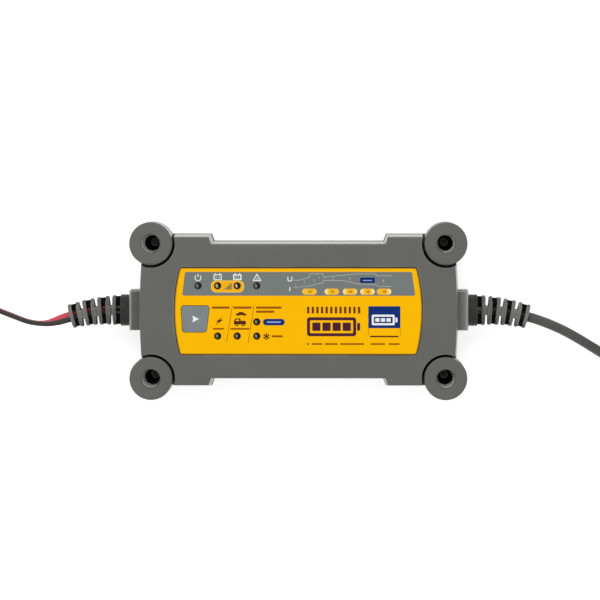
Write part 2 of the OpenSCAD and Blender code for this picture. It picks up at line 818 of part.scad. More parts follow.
// Conductors from the gland to the main board
module inner_wires(radius, tints) {
    for (side = [-1, 1]) color(tints[(side + 1) / 2]) {
        y = gland_offset + side * landing_y;
        translate([landing_x, y, main_top]) cylinder(r = radius, h = gland_z - main_top, $fn = 24);
        translate([landing_x, y, gland_z]) sphere(r = radius, $fn = 24);
        translate([landing_x, y, gland_z]) rotate([0, 90, 0])
            cylinder(r = radius, h = wire_start - landing_x, $fn = 24);
    }
}

module mains_wires() {
    color(black) translate([wire_start, gland_offset, gland_z]) rotate([0, 90, 0])
        cylinder(d = mains_d, h = gland_reach + lead_start - wire_start, $fn = 32);
    inner_wires(1, [[0.35, 0.20, 0.10], [0.10, 0.20, 0.60]]);
}

module battery_wires() mirror([1, 0, 0]) {
    inner_wires(conductor_d / 2, [[0.06, 0.06, 0.06], [0.75, 0.05, 0.08]]);
    for (side = [-1, 1]) color(side < 0 ? [0.06, 0.06, 0.06] : [0.75, 0.05, 0.08])
        translate([wire_start, gland_offset + side * landing_y, gland_z]) rotate([0, 90, 0])
            cylinder(d = conductor_d, h = gland_reach + lead_start - wire_start, $fn = 24);
}

// Routes are lists of [x, y, z, roll]; roll turns a flat lead about its own line
mains_route = [
    [104.2, -0.4, 27.5, 0], [112, -0.8, 27.5, 0], [120, -1.8, 27.5, 0], [131.5, -4.5, 27.4, 0],
    [138, -6.6, 26.4, 0], [145, -9.4, 24.2, 0], [152, -12.7, 21, 0], [160, -17.2, 16.4, 0],
    [168, -22.1, 11.5, 0], [176, -27, 7.4, 0], [184, -31.7, 4.4, 0], [192, -36.4, 3.1, 0],
    [199, -40.3, 2.85, 0], [206, -44.1, 2.85, 0]
];
mains_end_route = [
    [212.9, 35.5, 8.55, 0], [199.6, 27.9, 8.6, 0], [189.8, 16.1, 9.6, 0], [186.9, 8.3, 11.8, 0],
    [186.9, -0.2, 14.2, 0], [189.8, -8, 16, 0], [195.2, -14.4, 17.3, 0], [202.5, -18.6, 18.1, 0],
    [210.7, -20, 18.25, 0]
];
battery_route = [
    [-104.2, -0.4, 27.5, 0], [-112, -0.8, 27.5, 0], [-120, -1.8, 27.5, 0],
    [-131.5, -4.6, 27.4, 5], [-138, -6.6, 26.4, 40], [-144, -8, 24.8, 75],
    [-150, -8.1, 22.6, 90], [-156, -7.1, 19.8, 90], [-163, -4.8, 15.8, 90],
    [-170, -2.4, 11.4, 90], [-178, 0.4, 7, 90], [-186, 3.1, 4.2, 90], [-195, 6.2, 3.1, 90],
    [-207, 10.3, 3, 90], [-218.8, 14.2, 3, 90]
];
battery_end_route = [
    [-219, 13.8, 9, 90], [-232.7, 16, 9.1, 90], [-246.3, 13.3, 10.2, 90], [-252.9, 9.4, 12.4, 85],
    [-257.7, 3.5, 14.4, 70], [-260.2, -3.8, 15.4, 45], [-260, -11.4, 15.8, 20],
    [-257.3, -18.5, 15.8, 5], [-252.3, -24.3, 15.8, 0]
];

function spline(a, b, c, d, t) =
    (2 * b + (c - a) * t + (2 * a - 5 * b + 4 * c - d) * t * t
    + (3 * b - a - 3 * c + d) * t * t * t) / 2;
function smooth_route(route, steps) =
    let (last = len(route) - 1)
    [for (i = [0:last - 1], k = [0:steps - 1])
        spline(route[max(i - 1, 0)], route[i], route[i + 1], route[min(i + 2, last)], k / steps),
     route[last]];
function xyz(p) = [p[0], p[1], p[2]];
function unit(v) = v / norm(v);

// Section swept along a route as one solid
module lead(route, section, steps = 2) {
    path = smooth_route(route, steps);
    count = len(path);
    sides = len(section);
    points = [for (i = [0:count - 1])
        let (
            ahead = unit(xyz(path[min(i + 1, count - 1)]) - xyz(path[max(i - 1, 0)])),
            across = unit(cross([0, 0, 1], ahead)),
            up = cross(ahead, across),
            roll = path[i][3]
        )
        for (p = section)
            xyz(path[i]) + across * (p[0] * cos(roll) - p[1] * sin(roll))
                + up * (p[0] * sin(roll) + p[1] * cos(roll))];
    polyhedron(points, concat(
        [[for (i = [0:sides - 1]) sides - 1 - i]],
        [[for (i = [0:sides - 1]) (count - 1) * sides + i]],
        [for (r = [0:count - 2], i = [0:sides - 1])
            let (j = (i + 1) % sides, a = r * sides, b = a + sides)
            each [[a + i, a + j, b + j], [a + i, b + j, b + i]]]
    ));
}

round_section = [for (a = [0:36:324]) mains_d / 2 * [cos(a), sin(a)]];
twin_radius = conductor_d / 2;
twin_section = concat(
    [[0, -twin_radius * 0.6]],
    [for (a = [-120:60:120]) [twin_radius + twin_radius * cos(a), twin_radius * sin(a)]],
    [[0, twin_radius * 0.6]],
    [for (a = [60:60:300]) [-twin_radius + twin_radius * cos(a), twin_radius * sin(a)]]
);

// Middles of the coils, beside the ends of the housing
mains_coil_centre = [228, -6, 0];
battery_coil_centre = [-232, -24, 0];

// Envelope of a two-layer flat coil
module coil(centre, turns, pitch, lead_width, lead_height) {
    inner = coil_radius - turns * pitch / 2 - lead_width / 2;
    outer = coil_radius + turns * pitch / 2 + lead_width / 2;
    edge = lead_width / 3;
    height = 2 * lead_height;
    translate(centre) rotate_extrude($fn = 96) polygon([
        [inner, edge], [inner + edge, 0], [outer - edge, 0], [outer, edge],
        [outer, height - edge], [outer - edge, height], [inner + edge, height], [inner, height - edge]
    ]);
}

module mains_cord() color(black) lead(mains_route, round_section);
module mains_cord_coil() color(black)
    coil(mains_coil_centre, mains_turns, mains_d, mains_d, mains_d);
module mains_cord_end() color(black) lead(mains_end_route, round_section);
module battery_lead() color(black) lead(battery_route, twin_section);
module battery_lead_coil() color(black)
    coil(battery_coil_centre, battery_turns, battery_pitch, conductor_d, 2 * conductor_d);
module battery_lead_end() color(black) lead(battery_end_route, twin_section);

// ------------------------------------------------------ plug and connector

// Both lie on their coils with the lead running in along their own +X axis
plug_place = [210.7, -20, 18.25];
plug_turn = 0;
plug_tail = 20;
connector_place = [-252.3, -24.3, 15.8];
connector_turn = -39;
connector_tail = 12;

// Ribbed, tapered tail that the lead runs into
module tail(length, lead_radius, end_radius, rings) {
    step = length / rings;
    rotate([0, 90, 0]) rotate_extrude($fn = 40) polygon(concat(
        [[0, 0]],
        [for (i = [0:rings - 1])
            let (r = lead_radius + 0.8 + (end_radius - lead_radius - 0.8) * (i + 0.5) / rings)
            each [[r, i * step], [r, (i + 0.6) * step], [r - 0.8, (i + 0.6) * step],
                  [r - 0.8, (i + 1) * step]]],
        [[end_radius - 0.6, length + 1], [0, length + 1]]
    ));
}

// Flat two-pin plug body: waisted towards the lead, with bevelled long sides
module plug_body() {
    half = plug_width / 2;
    flat = plug_thick * 0.32;
    intersection() {
        translate([0, 0, -plug_thick / 2]) linear_extrude(plug_thick) polygon([
            [0, -plug_thick / 2], [plug_length * 0.55, -half], [plug_length, -half],
            [plug_length, half], [plug_length * 0.55, half], [0, plug_thick / 2]]);
        rotate([90, 0, 90]) linear_extrude(plug_length) polygon([
            [-half, -flat / 2], [-half + flat, -plug_thick / 2], [half - flat, -plug_thick / 2],
            [half, -flat / 2], [half, flat / 2], [half - flat, plug_thick / 2],
            [-half + flat, plug_thick / 2], [-half, flat / 2]]);
    }
}

module placed_plug() translate(plug_place) rotate([0, 0, plug_turn]) children();

module mains_plug() color(black) placed_plug() {
    tail(plug_tail, mains_d / 2, plug_thick / 2 - 0.8, 5);
    translate([plug_tail, 0, 0]) plug_body();
}

module mains_plug_pins() color(metal) placed_plug()
    for (side = [-1, 1]) translate([plug_tail + plug_length, side * pin_spacing / 2, 0])
        rotate([0, 90, 0]) rotate_extrude($fn = 32) polygon([
            [0, 0], [pin_d / 2, 0], [pin_d / 2, pin_length - 1],
            [pin_d / 2 - 0.3, pin_length - 0.3], [pin_d / 2 - 1, pin_length], [0, pin_length]]);

module placed_connector() translate(connector_place) rotate([0, 0, connector_turn]) children();

// Two-pole connector: one pole bare, the other inside a shroud
shroud_radius = connector_thick / 2 - 0.4;
socket_radius = pole_d / 2 + 0.9;

module battery_connector() color(black) placed_connector() {
    tail(connector_tail, conductor_d, connector_thick / 2, 4);
    difference() {
        union() {
            translate([connector_tail, -connector_width / 2, -connector_thick / 2])
                cube([connector_length, connector_width, connector_thick]);
            for (rib = [2:3:11]) translate([connector_tail + rib, 0, 0])
                cube([1.2, connector_width + 1.2, connector_thick * 0.7], center = true);
            translate([connector_tail + connector_length - eps, pole_spacing / 2, 0])
                rotate([0, 90, 0]) cylinder(r = shroud_radius, h = pole_length + eps, $fn = 40);
        }
        translate([connector_tail + connector_length, pole_spacing / 2, 0])
            rotate([0, 90, 0]) cylinder(r = socket_radius, h = pole_length + eps, $fn = 40);
    }
}

module battery_contacts() color([0.80, 0.66, 0.30]) placed_connector()
    translate([connector_tail + connector_length, 0, 0]) {
        translate([0, -pole_spacing / 2, 0]) rotate([0, 90, 0])
            cylinder(d = pole_d, h = pole_length, $fn = 40);
        translate([0, pole_spacing / 2, 0]) rotate([0, 90, 0]) difference() {
            cylinder(r = socket_radius, h = pole_length - 0.6, $fn = 40);
            translate([0, 0, 1]) cylinder(d = pole_d + 0.1, h = pole_length, $fn = 40);
        }
    }

// -------------------------------------------------------------------- nodes

base_shell();
front_cover();
housing_seal();
housing_screws();
front_label();
mode_key();
switch_plunger();
mode_switch();
control_board();
control_board_screws();
lamp(0, [0.55, 0.75, 0.55]);  // led_power
lamp(1, [0.80, 0.60, 0.30]);  // led_level_low
lamp(2, [0.55, 0.75, 0.55]);  // led_level_full
lamp(3, [0.85, 0.35, 0.30]);  // led_fault
lamp(4, [0.80, 0.60, 0.30]);  // led_supply
lamp(5, [0.80, 0.60, 0.30]);  // led_charge
lamp(6, [0.80, 0.60, 0.30]);  // led_refresh
lamp(7, [0.80, 0.60, 0.30]);  // led_cold
stage_window(0);  // stage_window_1
stage_window(1);  // stage_window_2
stage_window(2);  // stage_window_3
stage_window(3);  // stage_window_4
stage_window(4);  // stage_window_5
stage_lamps();
main_board();
main_board_screws();
board_link();
mains_fuse();
filter_capacitor();
input_choke();
bridge_rectifier();
bulk_capacitor();
transformer_core();
transformer_winding();
primary_heatsink();
power_transistor();
secondary_heatsink();
output_diode();
output_capacitors();
output_relay();
mains_strain_relief();
battery_strain_relief();
mains_wires();
battery_wires();
mains_cord();
mains_cord_coil();
mains_cord_end();
mains_plug();
mains_plug_pins();
battery_lead();
battery_lead_coil();
battery_lead_end();
battery_connector();
battery_contacts();
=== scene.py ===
# %% [markdown]
# # A flat car battery charger
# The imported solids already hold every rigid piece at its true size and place. This lesson
# dresses them: the two leads at their real length, the printed label, and a finish for each
# material. Everything is in metres, and sizes are written in millimetres times MM.

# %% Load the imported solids
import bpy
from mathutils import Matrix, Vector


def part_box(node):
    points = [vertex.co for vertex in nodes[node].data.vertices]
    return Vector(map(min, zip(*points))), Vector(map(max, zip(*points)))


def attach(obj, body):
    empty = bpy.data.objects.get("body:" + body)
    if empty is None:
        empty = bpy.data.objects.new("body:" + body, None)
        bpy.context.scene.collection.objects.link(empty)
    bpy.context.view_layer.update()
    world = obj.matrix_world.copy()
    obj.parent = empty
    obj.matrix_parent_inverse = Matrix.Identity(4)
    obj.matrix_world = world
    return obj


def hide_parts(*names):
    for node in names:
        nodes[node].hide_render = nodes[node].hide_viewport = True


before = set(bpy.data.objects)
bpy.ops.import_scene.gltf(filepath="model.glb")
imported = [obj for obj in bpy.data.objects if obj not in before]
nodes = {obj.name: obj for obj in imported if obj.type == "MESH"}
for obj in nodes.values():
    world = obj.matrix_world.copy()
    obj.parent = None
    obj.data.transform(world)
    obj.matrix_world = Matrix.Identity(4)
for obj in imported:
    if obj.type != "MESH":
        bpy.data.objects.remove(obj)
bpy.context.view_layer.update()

import math

import bmesh
import bpy
from mathutils import Matrix, Vector

MM = 0.001

# %% [markdown]
# ## The camera
# The charger lies on its back and is looked at from above, a little to the right of its
# middle and a little towards its upper edge. A long lens keeps the posts nearly upright.
# A camera that looks almost straight down has no natural up, so its three axes are set by
# hand: the view direction, the right hand and the up that they leave.

# %% Camera
EYE = Vector((0.0286, 0.0761, 2.03))
TARGET = Vector((0.001, 0.0063, 0.055))
LENS = 211.0

camera_data = bpy.data.cameras.new("bench_camera")
camera_data.lens = LENS
camera = bpy.data.objects.new("bench_camera", camera_data)
bpy.context.scene.collection.objects.link(camera)
ahead = (TARGET - EYE).normalized()
right = ahead.cross(Vector((0, 1, 0))).normalized()
up = right.cross(ahead)
camera.matrix_world = Matrix.Translation(EYE) @ Matrix((right, up, -ahead)).transposed().to_4x4()
bpy.context.scene.camera = camera
bpy.context.scene.view_settings.view_transform = "Standard"
print("camera at", tuple(round(x, 3) for x in EYE))

# %% [markdown]
# ## Sockets that can be added up
# A material is a graph, but most of it is arithmetic, and arithmetic reads best as an
# expression. A Wire wraps one socket: an operator on it adds the Math node and gives the
# next wire. Colours and vectors have their own nodes, because a Math node would turn a
# colour grey, and one method makes any node from its type, settings and sockets.

# %% Wires
def operator(operation, swapped=False):
    """A method that joins a wire and another value with one Math operation."""
    def method(self, other):
        return self.math(operation, *((other, self) if swapped else (self, other)))
    return method


class Wire:
    """A socket in a node tree. Arithmetic on it adds Math nodes and gives a new wire."""

    def __init__(self, tree, socket=None):
        self.tree, self.socket = tree, socket

    def node(self, kind, settings=None, inputs=None, output=0):
        """Adds a node of any kind: its settings first, then its sockets' values or wires."""
        made = self.tree.nodes.new(kind)
        for name, value in (settings or {}).items():
            setattr(made, name, value)
        for name, value in (inputs or {}).items():
            plug(self.tree, made.inputs[name], value)
        return Wire(self.tree, made.outputs[output])

    def beside(self, output):
        """Another output of the node that this wire comes from."""
        return Wire(self.tree, self.socket.node.outputs[output])

    def math(self, operation, *values):
        return self.node("ShaderNodeMath", {"operation": operation}, dict(enumerate(values)))

    __add__ = __radd__ = operator("ADD")
    __mul__ = __rmul__ = operator("MULTIPLY")
    __sub__, __rsub__ = operator("SUBTRACT"), operator("SUBTRACT", swapped=True)
    __gt__, __lt__, most = operator("GREATER_THAN"), operator("LESS_THAN"), operator("MAXIMUM")

    def __abs__(self):
        return self.math("ABSOLUTE", self)

    def distance(self, other):
        """How far the point with these two coordinates is from their zero."""
        return self.math("SQRT", self * self + other * other)

    def wave(self, period):
        """A sine of the wire, from 0 to 1, that repeats every period."""
        return self.math("SINE", self * (2 * math.pi / period)) * 0.5 + 0.5

    def ramp(self, low, high):
        """A smooth step from 0 at low to 1 at high."""
        return self.node("ShaderNodeMapRange", {"interpolation_type": "SMOOTHSTEP"},
                         {"Value": self, "From Min": low, "From Max": high})


print("wires ready")


# %% Values, colours and blends
def plug(tree, socket, value):
    if isinstance(value, Wire):
        tree.links.new(value.socket, socket)
    else:
        socket.default_value = value


def colour(red, green, blue):
    """A colour given in the 0 to 255 steps of a screen, as the linear values of a socket."""
    steps = [value / 255 for value in (red, green, blue)]
    return tuple(((s + 0.055) / 1.055) ** 2.4 if s > 0.04 else s / 12.92 for s in steps) + (1.0,)


def blend(share, first, second):
    """The first colour where share is 0 and the second where it is 1."""
    return share.node("ShaderNodeMix", {"data_type": "RGBA"}, {0: share, 6: first, 7: second}, 2)


BLACK, WHITE = (0, 0, 0, 1), (1, 1, 1, 1)
print("middle grey as linear values:", [round(value, 3) for value in colour(128, 128, 128)])

# %% [markdown]
# ## Light and floor
# A white table under a large soft lamp that stands beyond the charger's upper edge, with
# an even sky for the rest. Both together light a surface that faces the camera so that its
# colour renders about as it is written. The table glows a little where the camera sees it,
# which leaves it white with a soft shadow, and it is all white in a reflection, as the
# sweep of a studio is. It doesn't glow under the posts, whose holes stay dark.

# %% Soft lamp
LAMP_POWER = 11.5
LAMP_SIZE = (1.3, 0.8)
LAMP_PLACE = Vector((-0.1, 0.9, 1.6))

lamp_data = bpy.data.lights.new("soft_lamp", "AREA")
lamp_data.shape = "RECTANGLE"
lamp_data.size, lamp_data.size_y = LAMP_SIZE
lamp_data.energy = LAMP_POWER
lamp = bpy.data.objects.new("soft_lamp", lamp_data)
bpy.context.scene.collection.objects.link(lamp)
lamp.location = LAMP_PLACE
lamp.rotation_euler = (-LAMP_PLACE).to_track_quat("-Z", "Y").to_euler()
lamp.visible_camera = False
print("lamp of", LAMP_POWER, "W at", tuple(round(x, 2) for x in LAMP_PLACE))


# %% Sky
SKY_LEVEL = 0.69


def ray_kinds(tree):
    """1 for a ray from the camera, and 1 for one from a reflection or a clear body."""
    rays = Wire(tree).node("ShaderNodeLightPath", output="Is Camera Ray")
    return rays, rays.beside("Is Glossy Ray").most(rays.beside("Is Transmission Ray"))


def grey(level):
    return (level, level, level, 1)


world = bpy.data.worlds.new("studio")
world.use_nodes = True
bpy.context.scene.world = world
from_camera, from_mirror = ray_kinds(world.node_tree)
plug(world.node_tree, world.node_tree.nodes["Background"].inputs["Color"],
     blend(from_camera.most(from_mirror), grey(SKY_LEVEL), WHITE))
print("sky", SKY_LEVEL)

# %% Table
TABLE_SIZE, TABLE_DROP = 12.0, 0.05 * MM
TABLE_LIFT, TABLE_REFLECTED = 0.6, 1.0
POST_PLACE, POST_FOOT = (83, 38), 9

table_paint = bpy.data.materials.new("white_table")
table_paint.use_nodes = True
paint = table_paint.node_tree.nodes["Principled BSDF"]
paint.inputs["Base Color"].default_value = colour(242, 242, 242)
paint.inputs["Roughness"].default_value = 1.0
paint.inputs["Specular IOR Level"].default_value = 0.0
paint.inputs["Emission Strength"].default_value = 1.0
from_camera, from_mirror = ray_kinds(table_paint.node_tree)
spot = from_camera.node("ShaderNodeTexCoord", output="Object")
spot_x = spot.node("ShaderNodeSeparateXYZ", inputs={0: spot})
off_post = [abs(spot_x.beside(axis)) - place * MM for axis, place in zip("XY", POST_PLACE)]
open_air = off_post[0].distance(off_post[1]) > POST_FOOT * MM
plug(table_paint.node_tree, paint.inputs["Emission Color"],
     blend(from_mirror, blend(from_camera * open_air, BLACK, grey(TABLE_LIFT)),
           grey(TABLE_REFLECTED)))

table_top = bmesh.new()
bmesh.ops.create_grid(table_top, x_segments=1, y_segments=1, size=TABLE_SIZE / 2)
bmesh.ops.translate(table_top, vec=(0, 0, -TABLE_DROP), verts=table_top.verts[:])
table_mesh = bpy.data.meshes.new("table")
table_top.to_mesh(table_mesh)
table_top.free()
table_mesh.materials.append(table_paint)
table = bpy.data.objects.new("table", table_mesh)
bpy.context.scene.collection.objects.link(table)
print("table", TABLE_SIZE, "m wide, just below the posts' feet")

# %% [markdown]
# ## Routes of the leads
# A lead is a fixed length of something flexible, so its route comes before its look. Each
# route is a short list of listed points, as the solids have them, and a smooth curve
# runs through them. The part that is put away is a two-layer coil worked out turn by turn:
# inwards along the table, up half a turn at the inside, and outwards on top.
# The fourth number turns a flat lead about its own line, in degrees.

# %% Smooth routes and coils
def spline(a, b, c, d, t):
    """The point at share t between b and c on a curve that also heeds a and d."""
    return tuple((2 * q + (r - p) * t + (2 * p - 5 * q + 4 * r - s) * t * t
                  + (3 * q - p - 3 * r + s) * t ** 3) / 2 for p, q, r, s in zip(a, b, c, d))


def smooth_route(points, steps=6):
    last = len(points) - 1
    return [spline(points[max(i - 1, 0)], points[i], points[i + 1], points[min(i + 2, last)],
                   k / steps) for i in range(last) for k in range(steps)] + [points[last]]


def polar(radius, degrees, x=0, y=0):
    """The point at a distance and in a direction from another one."""
    turn = math.radians(degrees)
    return x + radius * math.cos(turn), y + radius * math.sin(turn)


COIL_RADIUS = 34


def coil_route(centre, start, turns, pitch, half_height, roll, steps=40):
    """Both layers of a coil, counter-clockwise from the angle start at its outside."""
    total = 2 * turns + 0.5
    count = round(total * steps)
    outer = COIL_RADIUS + turns * pitch / 2
    points = []
    for i in range(count + 1):
        turn = total * i / count
        rise = min(max(2 * (turn - turns), 0), 1)
        rise = rise * rise * (3 - 2 * rise)
        radius = outer - pitch * min(turn, turns) + pitch * max(turn - turns - 0.5, 0)
        points.append((*polar(radius, start + 360 * turn, *centre),
                       half_height * (1 + 2 * rise), roll))
    return points


print("coils wound round a radius of", COIL_RADIUS, "mm")

# %% The two routes
MAINS_D, MAINS_TURNS, MAINS_COIL = 5.7, 3.57, (228, -6)
WIRE_D, BATTERY_TURNS, BATTERY_PITCH, BATTERY_COIL = 3.0, 3.75, 3.2, (-232, -24)
mains_route = [
    [104.2, -0.4, 27.5, 0], [112, -0.8, 27.5, 0], [120, -1.8, 27.5, 0], [131.5, -4.5, 27.4, 0],
    [138, -6.6, 26.4, 0], [145, -9.4, 24.2, 0], [152, -12.7, 21, 0], [160, -17.2, 16.4, 0],
    [168, -22.1, 11.5, 0], [176, -27, 7.4, 0], [184, -31.7, 4.4, 0], [192, -36.4, 3.1, 0],
    [199, -40.3, 2.85, 0], [206, -44.1, 2.85, 0]]
mains_end_route = [
    [212.9, 35.5, 8.55, 0], [199.6, 27.9, 8.6, 0], [189.8, 16.1, 9.6, 0], [186.9, 8.3, 11.8, 0],
    [186.9, -0.2, 14.2, 0], [189.8, -8, 16, 0], [195.2, -14.4, 17.3, 0], [202.5, -18.6, 18.1, 0],
    [210.7, -20, 18.25, 0]]
battery_route = [
    [-104.2, -0.4, 27.5, 0], [-112, -0.8, 27.5, 0], [-120, -1.8, 27.5, 0],
    [-131.5, -4.6, 27.4, 5], [-138, -6.6, 26.4, 40], [-144, -8, 24.8, 75],
    [-150, -8.1, 22.6, 90], [-156, -7.1, 19.8, 90], [-163, -4.8, 15.8, 90],
    [-170, -2.4, 11.4, 90], [-178, 0.4, 7, 90], [-186, 3.1, 4.2, 90], [-195, 6.2, 3.1, 90],
    [-207, 10.3, 3, 90], [-218.8, 14.2, 3, 90]]
battery_end_route = [
    [-219, 13.8, 9, 90], [-232.7, 16, 9.1, 90], [-246.3, 13.3, 10.2, 90], [-252.9, 9.4, 12.4, 85],
    [-257.7, 3.5, 14.4, 70], [-260.2, -3.8, 15.4, 45], [-260, -11.4, 15.8, 20],
    [-257.3, -18.5, 15.8, 5], [-252.3, -24.3, 15.8, 0]]


def whole_route(route, coil, end_route):
    """The three stretches as one line, without the points that two of them share."""
    return smooth_route(route)[:-1] + coil[:-1] + smooth_route(end_route)


def length_of(points):
    return sum((Vector(a[:3]) - Vector(b[:3])).length for a, b in zip(points, points[1:])) * MM


mains_coil = coil_route(MAINS_COIL, start=-120, turns=MAINS_TURNS, pitch=MAINS_D,
                        half_height=MAINS_D / 2, roll=0)
battery_coil = coil_route(BATTERY_COIL, start=71.2, turns=BATTERY_TURNS, pitch=BATTERY_PITCH,
                          half_height=WIRE_D, roll=90)
mains_line = whole_route(mains_route, mains_coil, mains_end_route)
battery_line = whole_route(battery_route, battery_coil, battery_end_route)
print("mains cord", round(length_of(mains_line), 3), "m, battery lead",
      round(length_of(battery_line), 3), "m")

# %% [markdown]
# ## Two leads
# A lead is its section swept along its route. The mains cord is round. The battery lead is
# two insulated conductors moulded side by side, so its section is a figure of eight, swept
# with the turn that each point gives, and the faces of one lobe take the red material, the
# others the black one. The turn is about the lead's own line.

# %% New pieces
def new_piece(name, shape, body="charger", smooth=True):
    """Makes an object of a bmesh that is in metres, and lets it ride on its body."""
    mesh = bpy.data.meshes.new(name)
    shape.to_mesh(mesh)
    shape.free()
    for face in mesh.polygons:
        face.use_smooth = smooth
    piece = bpy.data.objects.new(name, mesh)
    bpy.context.scene.collection.objects.link(piece)
    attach(piece, body)
    print(name, "of", len(mesh.polygons), "faces")
    return piece


# %% Sections and sweep
def round_section(radius, sides=20):
    """The outline of the round cord."""
    return [polar(radius, 360 * i / sides) for i in range(sides)]


WAIST = 0.55


def twin_section(radius, step=30):
    """The outline of the flat lead, first round its black lobe and then round its red one."""
    lobe = [polar(radius, a, radius) for a in range(-120, 121, step)]
    waist = WAIST * radius
    return [(0, -waist)] + lobe + [(0, waist)] + [(-u, -v) for u, v in lobe]


def sweep(line, section, lobes=1):
    """A closed tube whose rings follow line, each turned by that point's fourth number."""
    tube, rings = bmesh.new(), []
    for i, (x, y, z, roll) in enumerate(line):
        ahead = Vector(line[min(i + 1, len(line) - 1)][:3]) - Vector(line[max(i - 1, 0)][:3])
        across = Vector((0, 0, 1)).cross(ahead).normalized()
        up = ahead.normalized().cross(across)
        turn = math.radians(roll)
        rings.append([tube.verts.new((Vector((x, y, z))
                      + across * (u * math.cos(turn) - v * math.sin(turn))
                      + up * (u * math.sin(turn) + v * math.cos(turn))) * MM)
                      for u, v in section])
    for near, far in zip(rings, rings[1:]):
        for i in range(len(section)):
            j = (i + 1) % len(section)
            side = tube.faces.new((near[i], near[j], far[j], far[i]))
            side.material_index = i * lobes // len(section)
    for ring in (rings[0][::-1], rings[-1]):
        tube.faces.new(ring)
    bmesh.ops.recalc_face_normals(tube, faces=tube.faces[:])
    return tube


print("outlines of", len(round_section(1)), "and", len(twin_section(1)), "points")

# %% Mains cord and battery lead
cord_tube = sweep(mains_line, round_section(MAINS_D / 2))
mains_sheath = new_piece("mains_cord_sheath", cord_tube)
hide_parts("mains_cord", "mains_cord_coil", "mains_cord_end")
twin_tube = sweep(battery_line, twin_section(WIRE_D / 2), lobes=2)
battery_flex = new_piece("battery_flex", twin_tube)
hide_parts("battery_lead", "battery_lead_coil", "battery_lead_end")

# %% [markdown]
# ## Ties
# A rubber strap holds each coil together. It is a flat band that goes round all the turns,
# drawn once round them and given its width, with rounded corners where it bends.

# %% Ties
TIE_WIDTH, TIE_THICKNESS, TIE_CORNER = 9, 0.8, 3


def tie(name, centre, angle, inner, outer, height):
    """A band round the turns between two radii of a coil, at one angle of it."""
    band = bmesh.new()
    bmesh.ops.create_grid(band, x_segments=1, y_segments=1, size=0.5)
    bmesh.ops.scale(band, vec=((outer - inner) * MM, height * MM, 1), verts=band.verts[:])
    bmesh.ops.bevel(band, geom=band.verts[:], offset=TIE_CORNER * MM, segments=5, profile=0.5,
                    affect="VERTICES", material=-1)
    bmesh.ops.delete(band, geom=band.faces[:], context="FACES_ONLY")
    grown = bmesh.ops.extrude_edge_only(band, edges=band.edges[:])["geom"]
    far = [part for part in grown if isinstance(part, bmesh.types.BMVert)]
    bmesh.ops.translate(band, vec=(0, 0, TIE_WIDTH * MM), verts=far)
    bmesh.ops.translate(band, vec=(0, 0, -TIE_WIDTH / 2 * MM), verts=band.verts[:])
    bmesh.ops.recalc_face_normals(band, faces=band.faces[:])
    bmesh.ops.solidify(band, geom=band.faces[:], thickness=TIE_THICKNESS * MM)
    bmesh.ops.recalc_face_normals(band, faces=band.faces[:])
    radius = (inner + outer) / 2
    place = (Matrix.Translation((centre[0] * MM, centre[1] * MM, height / 2 * MM))
             @ Matrix.Rotation(math.radians(angle), 4, "Z")
             @ Matrix.Translation((radius * MM, 0, 0)) @ Matrix.Rotation(math.pi / 2, 4, "X"))
    bmesh.ops.transform(band, matrix=place, verts=band.verts[:])
    return new_piece(name, band)


mains_tie = tie("mains_tie", MAINS_COIL, angle=45, inner=20.4, outer=47.6, height=12)
battery_tie = tie("battery_tie", BATTERY_COIL, angle=-10, inner=25.9, outer=42.1, height=12.6)

# %% [markdown]
# ## Printing the label
# The label is a film that is printed in several inks, one over the other. Each ink is a
# mesh of flat areas a few hundredths of a millimetre thick, so its edges stay sharp at any
# distance, which a painted mask would not. An area starts as loops of edges, one round it
# and one round each hole in it. A triangle fill closes what lies between them, and an
# extrusion gives it its thickness.

# %% Inks
LABEL_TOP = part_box("front_label")[1][2] / MM
INK_SUNK, INK_STEP = 0.02, 0.03


def box(x0, y0, x1, y1):
    """The four corners of an upright box, counter-clockwise from the lower left."""
    return (x0, y0), (x1, y0), (x1, y1), (x0, y1)


